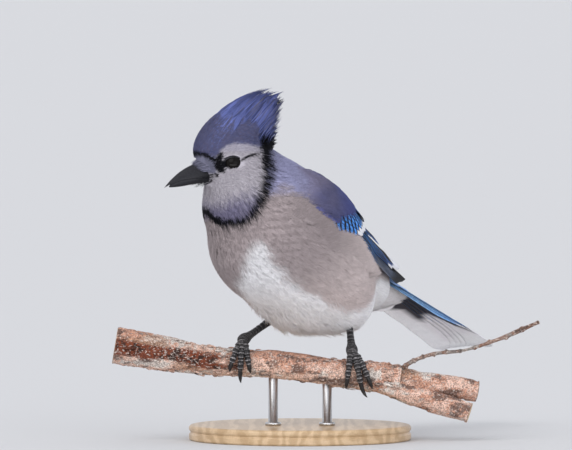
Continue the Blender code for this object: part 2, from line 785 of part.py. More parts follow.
def make_head():
    """The head with its crest, eyelids and nostril tufts, cut clear of the eyes and the bill."""
    shape = between_cuts(body_shape(), back=HEAD_CUT)
    node = object_of(shape, "head", BLUE)
    tufts = [nasal_tuft(f"tuft_{side}_{row}", side, row) for side in (1, -1) for row in range(2)]
    join_pieces(node, [lid_ring(side) for side in (1, -1)] + crest_vanes() + tufts)
    forward, left, up = EYE_PLACE
    sockets = [
        sphere(f"socket_{side}", head(forward, side * left, up), EYE_RADIUS + GAP, BLACK, 16, 10, PIECES)
        for side in (1, -1)
    ]
    cut_away(node, bill_sockets() + sockets)
    for side, word in ((1, "left"), (-1, "right")):
        sphere(f"eye_{word}", head(forward, side * left, up), EYE_RADIUS, EYE, 16, 10)
    return node


# The perch runs from left to right of the picture: pixel-free sizes in millimetres as X, Z and radius.
PERCH_LINE = (
    (-96, 49.5, 9.6),
    (-72, 45.5, 8.8),
    (-44, 41.3, 7.7),
    (-15, 39.8, 6.9),
    (16, 35.6, 7.2),
    (42, 32.8, 7.9),
    (52, 31.6, 7.6),
)
UPPER_ARM = ((44, 33.0, 6.4), (62, 30.3, 6.0), (78, 28.0, 5.8), (92, 25.4, 5.6))
LOWER_ARM = ((40, 31.5, 6.0), (58, 24.0, 5.7), (73, 19.4, 5.5), (88, 14.6, 5.2))
TWIG = ((50, 35.0, 1.5), (58, 41.5, 1.3), (70, 45.5, 1.1), (86, 47.5, 0.95), (104, 53.5, 0.9), (124, 62.0, 0.8))
UPPER_ARM_BACK = 5.0
LOWER_ARM_FRONT = 4.0
TWIG_FRONT = 6.5


def tube(name, line, finish, sides=2, collection=None):
    """A round piece along points of (place, radius), as a bevelled curve made into a closed mesh."""
    curve = bpy.data.curves.new(name, "CURVE")
    curve.dimensions = "3D"
    curve.bevel_depth = 1.0
    curve.bevel_resolution = sides
    curve.use_fill_caps = True
    spline = curve.splines.new("POLY")
    spline.points.add(len(line) - 1)
    for point, (place, radius) in zip(spline.points, line):
        point.co = (*place, 1)
        point.radius = radius
    holder = bpy.data.objects.new(name, curve)
    PIECES.objects.link(holder)
    bpy.context.view_layer.update()
    graph = bpy.context.evaluated_depsgraph_get()
    mesh = bpy.data.meshes.new_from_object(holder.evaluated_get(graph))
    bpy.data.objects.remove(holder)
    shape = bmesh.new()
    shape.from_mesh(mesh)
    bpy.data.meshes.remove(mesh)
    bmesh.ops.remove_doubles(shape, verts=shape.verts, dist=1e-6)
    bmesh.ops.triangulate(shape, faces=shape.faces)
    facing_out(shape)
    return object_of(shape, name, finish, collection)


def smooth_line(points, count):
    """Points of a smooth curve through the given ones, which may hold a radius as a last value."""
    points = np.array(points, float)
    padded = np.vstack([2 * points[0] - points[1], points, 2 * points[-1] - points[-2]])
    line = []
    for at in np.linspace(0, len(points) - 1, count):
        i = min(int(at), len(points) - 2)
        t = at - i
        a, b, c, d = padded[i : i + 4]
        line.append(
            0.5 * (2 * b + (c - a) * t + (2 * a - 5 * b + 4 * c - d) * t * t + (3 * b - a - 3 * c + d) * t**3)
        )
    return np.array(line)


def branch_tube(name, line, depth, count, collection=None):
    """A piece of branch: line holds X, Z and radius, depth(share) its place along Y, in millimetres."""
    points = []
    for number, (x, z, radius) in enumerate(smooth_line(line, count)):
        share = number / (count - 1)
        knobble = 1 + 0.035 * math.sin(number * 2.1 + len(name)) if 0 < number < count - 1 else 1
        points.append(((x * MM, PERCH_Y + depth(share) * MM, z * MM), radius * knobble * MM))
    return tube(name, points, BARK, 3, collection)


def perch_at(x):
    """Height and radius of the main branch at a world X, in metres."""
    line = smooth_line(PERCH_LINE, 60) * MM
    return np.interp(x, line[:, 0], line[:, 1]), np.interp(x, line[:, 0], line[:, 2])


def cylinder(name, x, y, low, high, radius, finish, segments=16, collection=None):
    shape = bmesh.new()
    bmesh.ops.create_cone(
        shape, cap_ends=True, segments=segments, radius1=radius, radius2=radius, depth=high - low
    )
    bmesh.ops.translate(shape, vec=(x, y, (low + high) / 2), verts=shape.verts)
    return object_of(shape, name, finish, collection)


def make_perch():
    """The cut branch with its fork and twig, bored for the rods."""
    main = branch_tube("perch", PERCH_LINE, lambda share: 0.0, 14)
    arms = [
        branch_tube("upper_arm", UPPER_ARM, lambda share: UPPER_ARM_BACK * share, 8, PIECES),
        branch_tube("lower_arm", LOWER_ARM, lambda share: -LOWER_ARM_FRONT * share, 8, PIECES),
    ]
    line = smooth_line(TWIG, 12)
    twig = [((x * MM, PERCH_Y - TWIG_FRONT * MM * min(1, n / 3), z * MM), r * MM) for n, (x, z, r) in enumerate(line)]
    arms.append(tube("twig", twig, BARK, 1, PIECES))
    join_pieces(main, arms)
    bores = []
    for x in (-ROD_SPACING / 2, ROD_SPACING / 2):
        height, radius = perch_at(x)
        bottom = height - radius
        bores.append(
            cylinder("bore", x, PERCH_Y, bottom - 8 * MM, bottom + SOCKET_DEPTH + GAP, ROD_RADIUS + GAP, BARK, 16, PIECES)
        )
    cut_away(main, bores)
    return main


def make_stand():
    """A round base with two rods, which stand in sockets of the base and the perch."""
    shape = bmesh.new()
    bmesh.ops.create_cone(
        shape, cap_ends=True, segments=40, radius1=BASE_RADIUS, radius2=BASE_RADIUS, depth=BASE_HEIGHT
    )
    rims = [e for e in shape.edges if abs(e.verts[0].co.z - e.verts[1].co.z) < 1e-6 and len(e.link_faces) == 2]
    top = [e for e in rims if e.verts[0].co.z > 0]
    bmesh.ops.bevel(
        shape, geom=top, offset=1.5 * MM, segments=2, profile=0.5, affect="EDGES", material=-1
    )
    bmesh.ops.translate(shape, vec=(0, 0, BASE_HEIGHT / 2), verts=shape.verts)
    base = object_of(shape, "stand_base", BASE)
    sockets = []
    for number, x in enumerate((-ROD_SPACING / 2, ROD_SPACING / 2)):
        height, radius = perch_at(x)
        low, high = BASE_HEIGHT - SOCKET_DEPTH, height - radius + SOCKET_DEPTH
        cylinder(f"stand_rod_{number + 1}", x, PERCH_Y, low, high, ROD_RADIUS, STEEL)
        sockets.append(
            cylinder("socket", x, PERCH_Y, low - GAP, BASE_HEIGHT + 5 * MM, ROD_RADIUS + GAP, BASE, 16, PIECES)
        )
    cut_away(base, sockets)
    return base


# Legs: heel in the body's frame and ankle in the world, in millimetres, then the toes. A toe's row holds where its
# claw's root and tip stand along the branch, the angles round the branch at which toe and claw end (0 is the top,
# 90 degrees the front), and the claw tip's distance from the bark.
HEELS = {"left": (-25, 13, 66), "right": (-9, -22, 63)}
ANKLES = {"left": 27.0, "right": -29.6}
TOES = {
    "left": (
        ("inner", 24.2, 23.6, 92, 128, 1.6),
        ("middle", 31.2, 32.4, 104, 142, 3.2),
        ("outer", 34.8, 35.8, 88, 126, 1.4),
        ("hind", 26.4, 26.8, -84, -132, 1.0),
    ),
    "right": (
        ("inner", -26.2, -25.2, 92, 128, 1.2),
        ("middle", -31.0, -31.4, 106, 146, 2.6),
        ("outer", -34.2, -34.4, 90, 130, 1.4),
        ("hind", -28.6, -28.0, -84, -132, 1.0),
    ),
}
TOE_RADIUS, TOE_END_RADIUS = 1.9, 1.3
TARSUS_RADIUS = 1.75
CLAW_RADIUS = 1.05


def on_branch(x, angle, off):
    """A point round the main branch at X x: angle from its top to the front, off above its bark; mm and degrees."""
    height, radius = perch_at(x * MM)
    reach = radius * 1.04 + off * MM
    turn = math.radians(angle)
    return np.array([x * MM, PERCH_Y - reach * math.sin(turn), height + reach * math.cos(turn)])


def toe_line(side, row):
    """A toe's middle line with its radii: knuckles swell it and the pads between them lie on the bark."""
    _, root_x, _, end_angle, _, _ = row
    line = []
    count = 8
    for number in range(count):
        share = number / (count - 1)
        x = ANKLES[side] + (root_x - ANKLES[side]) * share**0.8
        radius = (TOE_RADIUS + (TOE_END_RADIUS - TOE_RADIUS) * share) * (1 + 0.07 * math.cos(number * math.pi))
        lift = 1.2 * max(0.0, 1 - share / 0.3)
        line.append((on_branch(x, end_angle * share, radius + 0.45 + lift), radius * MM))
    return line


def make_leg(side):
    """The bare leg: the tarsus and the four toes that grip the branch."""
    heel = bird(*HEELS[side])
    ankle = on_branch(ANKLES[side], -4, TOE_RADIUS + 2.2)
    course = ankle - heel
    line = [(heel + course * share, TARSUS_RADIUS * MM * size) for share, size in TARSUS_SHAPE]
    node = tube(f"leg_{side}", line, LEG, 1, JAY)
    join_pieces(node, [tube(f"{row[0]}_toe", toe_line(side, row), LEG, 1, PIECES) for row in TOES[side]])
    return node


TARSUS_SHAPE = ((0.0, 1.25), (0.12, 1.2), (0.3, 0.95), (0.6, 0.9), (0.85, 1.0), (0.95, 1.25), (1.02, 1.2))


def leg_socket(side):
    """The hole in the plumage that a leg comes out of."""
    heel = bird(*HEELS[side])
    course = on_branch(ANKLES[side], -4, TOE_RADIUS + 2.2) - heel
    radius = (TARSUS_RADIUS * 1.25) * MM + GAP
    line = [(heel + course * share, radius) for share in (-0.02, 0.2, 0.75)]
    return tube("leg_socket", line, LEG, 3, PIECES)


def make_claw(side, row):
    """A curved claw that follows its toe, with the thin gap of a part of its own."""
    word, root_x, tip_x, end_angle, tip_angle, off = row
    end, before = toe_line(side, row)[-1][0], toe_line(side, row)[-2][0]
    way = unit(end - before)
    start = end + way * GAP
    tip = on_branch(tip_x, tip_angle, off)
    bow = start + way * np.linalg.norm(tip - start) * 0.55
    line = []
    for share in np.linspace(0, 1, 6):
        point = start * (1 - share) ** 2 + bow * 2 * share * (1 - share) + tip * share**2
        line.append((point, CLAW_RADIUS * MM * (1 - 0.9 * share**1.3)))
    return tube(f"claw_{side}_{word}", line, CLAW, 1, JAY)


body_node("neck", PALE, HEAD_CUT, NECK_CUT)
torso = body_node("torso", GREY, NECK_CUT, None)
cut_away(torso, [leg_socket(side) for side in HEELS])
make_head()
mandible("bill_upper", True)
mandible("bill_lower", False)
make_wing(1, "wing_left")
make_wing(-1, "wing_right")
make_tail()
for side in HEELS:
    make_leg(side)
    for row in TOES[side]:
        make_claw(side, row)
make_perch()
make_stand()
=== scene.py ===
# %% [markdown]
# A blue jay as a museum model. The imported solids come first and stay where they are. Everything below
# is made in their frame, in metres, and stands for one or more of them.

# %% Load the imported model
import math
from functools import partial

import bmesh
import bpy
import numpy as np
from mathutils import Matrix, Vector


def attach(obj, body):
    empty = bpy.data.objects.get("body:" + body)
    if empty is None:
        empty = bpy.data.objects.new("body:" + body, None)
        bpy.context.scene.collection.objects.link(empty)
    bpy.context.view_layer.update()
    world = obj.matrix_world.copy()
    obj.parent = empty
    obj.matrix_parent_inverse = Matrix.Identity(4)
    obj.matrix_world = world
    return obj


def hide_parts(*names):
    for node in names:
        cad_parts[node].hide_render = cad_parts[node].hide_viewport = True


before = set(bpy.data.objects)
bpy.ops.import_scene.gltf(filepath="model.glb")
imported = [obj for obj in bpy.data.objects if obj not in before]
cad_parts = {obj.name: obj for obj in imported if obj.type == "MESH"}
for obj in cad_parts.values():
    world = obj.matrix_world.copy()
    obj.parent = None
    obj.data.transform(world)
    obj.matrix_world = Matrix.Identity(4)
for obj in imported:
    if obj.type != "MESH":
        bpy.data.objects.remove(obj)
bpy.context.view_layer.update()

MM = 0.001

# %% [markdown]
# The camera stands where the photographer stood: level with the bird, two degrees above it, and far
# away, so that lines hardly converge. A big soft light from the upper left and a weak one from the
# right copy a grey winter sky. The floor is one plain pale sheet.

# %% Camera, lights and floor
TARGET = Vector((-0.0073, 0, 0.1118))
DISTANCE, FIELD = 4.5, 0.2974
SIGHT = Vector((0, -math.cos(math.radians(2)), math.sin(math.radians(2))))


def linked(name, data):
    """A new object in the scene."""
    thing = bpy.data.objects.new(name, data)
    bpy.context.scene.collection.objects.link(thing)
    return thing


def add_camera():
    data = bpy.data.cameras.new("camera")
    data.sensor_width = 36
    data.lens = 36 * DISTANCE / FIELD
    data.clip_start, data.clip_end = 0.1, 200
    camera = linked("camera", data)
    camera.location = TARGET + SIGHT * DISTANCE
    camera.rotation_euler = (-SIGHT).to_track_quat("-Z", "Y").to_euler()
    bpy.context.scene.camera = camera


def add_sun(name, towards, strength, spread, colour):
    data = bpy.data.lights.new(name, "SUN")
    data.energy, data.angle, data.color = strength, math.radians(spread), colour
    lamp = linked(name, data)
    lamp.rotation_euler = Vector(towards).to_track_quat("Z", "Y").to_euler()


def add_bounce():
    """The snow's light from below: a wide sheet just over the floor, in front of the perch."""
    data = bpy.data.lights.new("snow_bounce", "AREA")
    data.shape, data.size, data.size_y, data.energy = "RECTANGLE", 0.9, 0.5, 6.4
    lamp = linked("snow_bounce", data)
    lamp.location = (0.0, -0.4, 0.004)
    lamp.rotation_euler = Vector((0, -0.25, -1)).to_track_quat("Z", "Y").to_euler()
    lamp.visible_camera = False


add_camera()
add_bounce()
add_sun("sky_key", (-0.55, -0.75, 0.95), 0.98, 50, (1.0, 0.99, 0.97))
add_sun("sky_fill", (0.6, -1.0, 0.06), 0.74, 60, (0.93, 0.96, 1.0))
world = bpy.data.worlds.new("studio")
bpy.context.scene.world = world
world.use_nodes = True
world.node_tree.nodes["Background"].inputs["Color"].default_value = (0.93, 0.95, 1.0, 1)
world.node_tree.nodes["Background"].inputs["Strength"].default_value = 0.92
bpy.context.scene.view_settings.view_transform = "Standard"

# %% [markdown]
# The bird is drawn in two frames, as in the solids: the body's, and the head's, which is turned to the
# bird's right. Both count forward, left and up in millimetres. The numbers below are the solids' own,
# so that every feather lies where its solid is.

# %% The bird's two frames
BODY_HEADING = math.radians(55)
HEAD_HEADING = math.radians(18)
HEAD_TURN = BODY_HEADING - HEAD_HEADING
UP = np.array([0.0, 0.0, 1.0])


def axes_of(heading):
    forward = [-math.cos(heading), -math.sin(heading), 0.0]
    left = [math.sin(heading), -math.cos(heading), 0.0]
    return np.array([forward, left, UP])


BODY_AXES, HEAD_AXES = axes_of(BODY_HEADING), axes_of(HEAD_HEADING)


def bird(forward, left, up):
    return np.array([forward, left, up]) * MM @ BODY_AXES


HEAD_CENTRE = bird(45, -7, 143)


def head(forward, left, up):
    return HEAD_CENTRE + np.array([forward, left, up]) * MM @ HEAD_AXES


def in_head(points):
    """World points in the head's frame, in millimetres."""
    return (points - HEAD_CENTRE) @ HEAD_AXES.T / MM


# %% [markdown]
# The plumage's outer shape is a handful of egg-shaped forms that flow into one another, like clay
# pressed together: a distance function says how far a point lies outside them. A sculptor would smooth
# spheres by hand; a function lets thousands of feathers ask where the surface is.

# %% The forms under the plumage
TORSO_LENGTH, TORSO_WIDTH = 94 * MM, 74 * MM
HEAD_LENGTH, HEAD_WIDTH = 38 * MM, 30 * MM
TORSO_BLEND, HEAD_BLEND, NECK_BLEND = 12 * MM, 5 * MM, 8 * MM
TORSO_FORMS = {
    "breast": (bird(27, 0, 108), (0.351, 0.432, 0.38), 30),
    "belly": (bird(-1, 0, 91), (0.489, 0.486, 0.34), 28),
    "back": (bird(5, 0, 112), (0.479, 0.392, 0.235), 34),
    "rump": (bird(-42, 0, 89), (0.266, 0.27, 0.14), 25),
    "vent": (bird(-49, 0, 79), (0.266, 0.19, 0.115), 16),
    "left_thigh": (bird(-22, 15, 70), (0.138, 0.14, 0.12), 20),
    "right_thigh": (bird(-14, -16, 70), (0.16, 0.14, 0.12), 20),
    "nape": (bird(36, -3, 128), (0.223, 0.284, 0.235), 40),
}
HEAD_FORMS = {
    "skull": (head(0, 0, 0), (0.5, 0.5, 0.42), 0),
    "cheek": (head(1, 0, -8), (0.42, 0.55, 0.4), 0),
    "throat": (head(2.5, 0, -20), (0.42, 0.55, 0.4), 0),
    "brow": (head(11, 0, 8), (0.33, 0.333, 0.29), -10),
    "crown": (head(6, 0, 15.5), (0.5, 0.36, 0.35), -38),
    "crest_core": (head(-3, 0, 23), (0.42, 0.2, 0.25), -36),
}


def placed_forms(forms, axes, length, width):
    placed = []
    for centre, shares, raised in forms.values():
        cosine, sine = math.cos(math.radians(raised)), math.sin(math.radians(raised))
        turn = np.array([[cosine, 0, sine], [0, 1, 0], [-sine, 0, cosine]])
        sizes = np.array([shares[0] * length, shares[1] * width, shares[2] * length])
        placed.append((centre, sizes, turn @ axes))
    return placed


def joined(near, far, blend):
    share = np.clip(0.5 + 0.5 * (near - far) / blend, 0, 1)
    return near * (1 - share) + far * share - blend * share * (1 - share)


def distance(points, forms, blend):
    total = None
    for centre, sizes, axes in forms:
        local = (points - centre) @ axes.T
        reach = np.linalg.norm(local / sizes, axis=-1)
        slope = np.linalg.norm(local / sizes**2, axis=-1) + 1e-9
        here = reach * (reach - 1) / slope
        total = here if total is None else joined(total, here, blend)
    return total


TORSO = placed_forms(TORSO_FORMS, BODY_AXES, TORSO_LENGTH, TORSO_WIDTH)
HEAD = placed_forms(HEAD_FORMS, HEAD_AXES, HEAD_LENGTH, HEAD_WIDTH)


def body_distance(points):
    return joined(distance(points, TORSO, TORSO_BLEND), distance(points, HEAD, HEAD_BLEND), NECK_BLEND)


# %% [markdown]
# A line runs inside the body from the bill to the tail. Rays leave it all round and meet the surface,
# so every place on the bird has two numbers: its share of the way to the tail, and its angle round the
# body, from the back to the left. Feathers lie along the first, which is how real ones lie.

# %% A chart of the whole body
BODY_LINE = (
    (0.00, head(10, 0, -1), 1.0, 62),
    (0.16, head(3, 0, -1), 1.0, 62),
    (0.30, head(-2, 0, -8), 0.85, 56),
    (0.42, bird(34, -4, 122), 0.5, 44),
    (0.55, bird(18, -1, 105), 0.15, 38),
    (0.70, bird(-5, 0, 92), 0.0, 44),
    (0.86, bird(-32, 0, 84), 0.0, 56),
    (1.00, bird(-50, 0, 82), 0.0, 66),
)
FRONT_CAP, BACK_CAP = 0.16, 0.86
BILL_DROP, TAIL_DROP = math.radians(10), math.radians(17.5)


def rows_at(share, marks, rows):
    """Rows of numbers, read between the marks they stand at."""
    return np.stack([np.interp(share, marks, column) for column in np.transpose(rows)], -1)


def line_at(share):
    marks, places, turns, rises = zip(*BODY_LINE)
    turn, rise = np.interp(share, marks, turns), np.interp(share, marks, rises)
    return rows_at(share, marks, places), turn, np.radians(rise)


def section_axes(turn, rise):
    heading = BODY_HEADING - HEAD_TURN * turn
    forward = np.stack([-np.cos(heading), -np.sin(heading), 0 * heading], -1)
    left = np.stack([np.sin(heading), -np.cos(heading), 0 * heading], -1)
    return -np.cos(rise)[:, None] * forward + np.sin(rise)[:, None] * UP, left


def leaning(from_side, to_end, share):
    angle = share[:, None] * math.pi / 2
    return unit(from_side * np.cos(angle) + to_end * np.sin(angle))


def unit(vectors):
    vectors = np.asarray(vectors)
    return vectors / np.maximum(np.linalg.norm(vectors, axis=-1, keepdims=True), 1e-12)


def surface_along(origins, directions, outside, furthest=95 * MM, steps=64):
    """Where rays from inside leave the shape."""
    step = furthest / steps
    low, high = np.zeros(len(origins)), np.full(len(origins), furthest)
    found = np.zeros(len(origins), bool)
    for number in range(1, steps + 1):
        left = np.flatnonzero(~found)
        new = left[outside(origins[left] + directions[left] * (number * step)) > 0]
        low[new], high[new] = (number - 1) * step, number * step
        found[new] = True
    for _ in range(12):
        middle = (low + high) / 2
        out = outside(origins + directions * middle[:, None]) > 0
        high, low = np.where(out, middle, high), np.where(out, low, middle)
    return origins + directions * low[:, None]


def body_points(share, around):
    place, turn, rise = line_at(share)
    back, left = section_axes(turn, rise)
    radial = np.cos(around)[:, None] * back + np.sin(around)[:, None] * left
    bill_way = np.array([math.cos(BILL_DROP), 0, -math.sin(BILL_DROP)]) @ HEAD_AXES
    tail_way = np.array([-math.cos(TAIL_DROP), 0, -math.sin(TAIL_DROP)]) @ BODY_AXES
    to_bill = leaning(radial, bill_way, np.clip(1 - share / FRONT_CAP, 0, 1))
    to_tail = leaning(radial, tail_way, np.clip((share - BACK_CAP) / (1 - BACK_CAP), 0, 1))
    directions = np.where((share < 0.5)[:, None], to_bill, to_tail)
    return surface_along(place, directions, body_distance)


class Chart:
    """Places and outward directions on a grid of two numbers, read between its points."""

    def __init__(self, a, b, places, normals):
        self.a, self.b, self.places, self.normals = a, b, places, normals
        self.along = np.linalg.norm(np.gradient(places, a, axis=0), axis=-1)
        self.across = np.linalg.norm(np.gradient(places, b, axis=1), axis=-1)

    def read(self, table, a, b):
        i = np.clip((a - self.a[0]) / (self.a[1] - self.a[0]), 0, len(self.a) - 1.001)
        j = np.clip((b - self.b[0]) / (self.b[1] - self.b[0]), 0, len(self.b) - 1.001)
        m, n = i.astype(int), j.astype(int)
        u, v = i - m, j - n
        if table.ndim == 3:
            u, v = u[..., None], v[..., None]
        near = table[m, n] * (1 - v) + table[m, n + 1] * v
        return near * (1 - u) + (table[m + 1, n] * (1 - v) + table[m + 1, n + 1] * v) * u

    def at(self, a, b):
        return self.read(self.places, a, b), unit(self.read(self.normals, a, b))

    def stretch(self, a, b):
        """Metres for one unit of each number."""
        return self.read(self.along, a, b), self.read(self.across, a, b)


class BodyChart(Chart):
    def read(self, table, a, b):
        return super().read(table, a, (b + math.pi) % (2 * math.pi) - math.pi)


def slope_of(outside, points, step=0.2 * MM):
    ways = np.eye(3) * step
    return unit(np.stack([outside(points + way) - outside(points - way) for way in ways], -1))


def chart_body():
    shares = np.linspace(0, 1, 181)
    around = np.radians(np.arange(-190, 190.1, 2.5))
    grid = np.stack(np.meshgrid(shares, around, indexing="ij"), -1).reshape(-1, 2)
    places = body_points(grid[:, 0], grid[:, 1])
    size = (len(shares), len(around), 3)
    return BodyChart(shares, around, places.reshape(size), slope_of(body_distance, places).reshape(size))


BODY = chart_body()
print("body chart:", BODY.places.shape[:2], "places")

# %% [markdown]
# Nothing grows in perfect order. A smooth noise, made of numbers on a lattice with rounded steps
# between them, will turn feathers a little, tint them and roughen bark. It is written here so that it
# is the same on every run.

# %% Noise and repeatable chance
def lattice(cells, seed):
    mixed = np.sin(cells @ np.array([127.1, 311.7, 74.7]) + seed * 19.19) * 43758.5453
    return mixed - np.floor(mixed)


def noise(points, scale, seed=0):
    """Smooth noise from -1 to 1 at points in metres; scale is the size of its lumps."""
    spot = points / scale
    cell = np.floor(spot)
    part = spot - cell
    part = part * part * (3 - 2 * part)
    total = 0
    for corner in np.ndindex(2, 2, 2):
        weight = np.prod(np.where(corner, part, 1 - part), axis=-1)
        total = total + weight * lattice(cell + corner, seed)
    return 2 * total - 1


def chance(seed):
    return np.random.default_rng(seed)


def ease(low, high, value):
    """0 before low, 1 past high, with a smooth rise between them."""
    share = np.clip((value - low) / (high - low), 0, 1)
    return share * share * (3 - 2 * share)


def mix(first, second, share):
    """One colour where share is 0, the other where it is 1."""
    share = np.asarray(share)[..., None]
    return np.asarray(first) * (1 - share) + np.asarray(second) * share


# %% [markdown]
# A small thing that is repeated thousands of times, such as a barb, is modelled once with mesh
# operators and read into arrays. Copies of it are then bent into place all at once and make one mesh.

# %% Copies of one small shape
def points_of(shape):
    shape.verts.ensure_lookup_table()
    return np.array([v.co[:] for v in shape.verts])


def set_points(shape, points):
    for vertex, place in zip(shape.verts, points):
        vertex.co = place
    shape.normal_update()
    bmesh.ops.recalc_face_normals(shape, faces=shape.faces)
    return shape


def template_of(shape):
    shape.verts.index_update()
    places = points_of(shape)
    corners = np.array([v.index for face in shape.faces for v in face.verts])
    counts = np.array([len(face.verts) for face in shape.faces])
    shape.free()
    return places, corners, counts


def all_of(shape):
    return shape.verts[:] + shape.edges[:] + shape.faces[:]


def strand_template(rings):
    """A closed three-sided barb with a point: cross section, share of its length, corners and counts."""
    shape = bmesh.new()
    bmesh.ops.create_cone(shape, cap_ends=True, segments=3, radius1=1, radius2=0, depth=1)
    bmesh.ops.remove_doubles(shape, verts=shape.verts, dist=1e-6)
    bmesh.ops.translate(shape, vec=(0, 0, 0.5), verts=shape.verts)
    for cut in range(1, rings):
        level = (0, 0, cut / rings)
        bmesh.ops.bisect_plane(shape, geom=all_of(shape), plane_co=level, plane_no=(0, 0, 1), dist=1e-6)
    bmesh.ops.recalc_face_normals(shape, faces=shape.faces)
    places, corners, counts = template_of(shape)
    share = np.round(places[:, 2] * rings) / rings
    section = places[:, :2] / np.maximum(1 - share, 1e-9)[:, None]
    section[share > 0.999] = 0
    return section, share, corners, counts


def blade_template(stations, across):
    """A closed blade: share of its length, side from -1 to 1, and 0 on its under or 1 on its upper face."""
    shape = bmesh.new()
    bmesh.ops.create_grid(shape, x_segments=stations, y_segments=across, size=1)
    under = list(shape.verts)
    rim = [edge for edge in shape.edges if edge.is_boundary]
    copied = bmesh.ops.duplicate(shape, geom=all_of(shape))
    for vertex in under:
        copied["vert_map"][vertex].co.z = 1
    bmesh.ops.bridge_loops(shape, edges=rim + [copied["edge_map"][edge] for edge in rim])
    shape.normal_update()
    bmesh.ops.recalc_face_normals(shape, faces=shape.faces)
    places, corners, counts = template_of(shape)
    # rows crowd to the edges, where thin lines of colour lie
    side = np.sign(places[:, 1]) * np.abs(places[:, 1]) ** 0.4
    return (places[:, 0] + 1) / 2, side, np.round(places[:, 2]), corners, counts


def paint_points(mesh, colours):
    layer = mesh.color_attributes.new("Markings", "FLOAT_COLOR", "POINT")
    whole = np.concatenate([colours, np.ones(colours.shape[:-1] + (1,))], -1)
    layer.data.foreach_set("color", whole.astype(np.float32).ravel())


def many(name, corners, counts, places, finish, colours=None, normals=None, maps=None):
    """One mesh of many copies. places is (copies, points of one, 3); colours and so on go with the points."""
    copies, size = places.shape[:2]
    mesh = bpy.data.meshes.new(name)
    mesh.vertices.add(copies * size)
    mesh.vertices.foreach_set("co", places.astype(np.float32).ravel())
    loops = (corners[None] + (np.arange(copies) * size)[:, None]).ravel()
    mesh.loops.add(len(loops))
    mesh.loops.foreach_set("vertex_index", loops.astype(np.int32))
    totals = np.tile(counts, copies)
    mesh.polygons.add(len(totals))
    mesh.polygons.foreach_set("loop_start", (np.cumsum(totals) - totals).astype(np.int32))
    mesh.polygons.foreach_set("use_smooth", np.ones(len(totals), bool))
    mesh.update(calc_edges=True)
    if colours is not None:
        paint_points(mesh, np.clip(colours, 0, 1))
    for map_name, flat in (maps or {}).items():
        layer = mesh.uv_layers.new(name=map_name)
        layer.data.foreach_set("uv", flat.reshape(-1, 2)[loops].astype(np.float32).ravel())
    if normals is not None:
        mesh.normals_split_custom_set_from_vertices(unit(normals).reshape(-1, 3).astype(np.float32))
    mesh.materials.append(finish)
    piece = linked(name, mesh)
    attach(piece, "root")
    print(f"{name}: {copies} copies, {int((counts - 2).sum()) * copies} triangles")
    return piece


STRANDS = {rings: strand_template(rings) for rings in (2, 3, 4, 5, 8)}
BLADE = blade_template(28, 6)
barb_sizes = {rings: len(made[1]) for rings, made in STRANDS.items()}
print("points in a barb:", barb_sizes, "and in a blade:", len(BLADE[0]))

# %% [markdown]
# Finishes. Feathers get their markings from a colour kept at every point of the mesh, so that skin and
# feathers agree. Two shader groups are shared: one adds the fine uneven tint of plumage, and one draws
# the crisp bars and tips of a vane from a flat map of its own, in which one unit is 100 mm, so that
# bars keep their real size.

# %% Helpers for shader nodes
def socket(group, name, kind, way="INPUT", value=None):
    made = group.interface.new_socket(name=name, in_out=way, socket_type=kind)
    if value is not None:
        made.default_value = value


def put(tree, source, target):
    if isinstance(source, bpy.types.NodeSocket):
        tree.links.new(source, target)
    else:
        target.default_value = source


def math_node(tree, operation, *values):
    node = tree.nodes.new("ShaderNodeMath")
    node.operation = operation
    for value, target in zip(values, node.inputs):
        put(tree, value, target)
    return node.outputs[0]


def mask_node(tree, value, low, high, out_low=0.0, out_high=1.0):
    node = tree.nodes.new("ShaderNodeMapRange")
    node.interpolation_type = "SMOOTHSTEP"
    for given, target in zip((value, low, high, out_low, out_high), node.inputs):
        put(tree, given, target)
    return node.outputs[0]


def mix_node(tree, share, first, second, blend="MIX"):
    node = tree.nodes.new("ShaderNodeMix")
    node.data_type = "RGBA"
    node.blend_type = blend
    put(tree, share, node.inputs["Factor"])
    put(tree, first, node.inputs[6])
    put(tree, second, node.inputs[7])
    return node.outputs[2]


def noise_node(tree, vector, scale, detail=3.0, roughness=0.55):
    node = tree.nodes.new("ShaderNodeTexNoise")
    put(tree, vector, node.inputs["Vector"])
    for name, value in (("Scale", scale), ("Detail", detail), ("Roughness", roughness)):
        put(tree, value, node.inputs[name])
    return node.outputs["Fac"]


def grey_node(tree, level):
    node = tree.nodes.new("ShaderNodeCombineColor")
    for target in node.inputs[:3]:
        put(tree, level, target)
    return node.outputs[0]


def axes_node(tree, vector):
    node = tree.nodes.new("ShaderNodeSeparateXYZ")
    put(tree, vector, node.inputs[0])
    return node.outputs


def object_place(tree, stretch=(1, 1, 1)):
    where = tree.nodes.new("ShaderNodeTexCoord")
    scaled = tree.nodes.new("ShaderNodeMapping")
    scaled.inputs["Scale"].default_value = stretch
    tree.links.new(where.outputs["Object"], scaled.inputs["Vector"])
    return scaled.outputs[0]


def new_group(name, inputs, outputs):
    group = bpy.data.node_groups.new(name, "ShaderNodeTree")
    for word, kind, value in inputs:
        socket(group, word, kind, value=value)
    for word, kind in outputs:
        socket(group, word, kind, "OUTPUT")
    start, end = group.nodes.new("NodeGroupInput"), group.nodes.new("NodeGroupOutput")
    return group, start.outputs, end.inputs


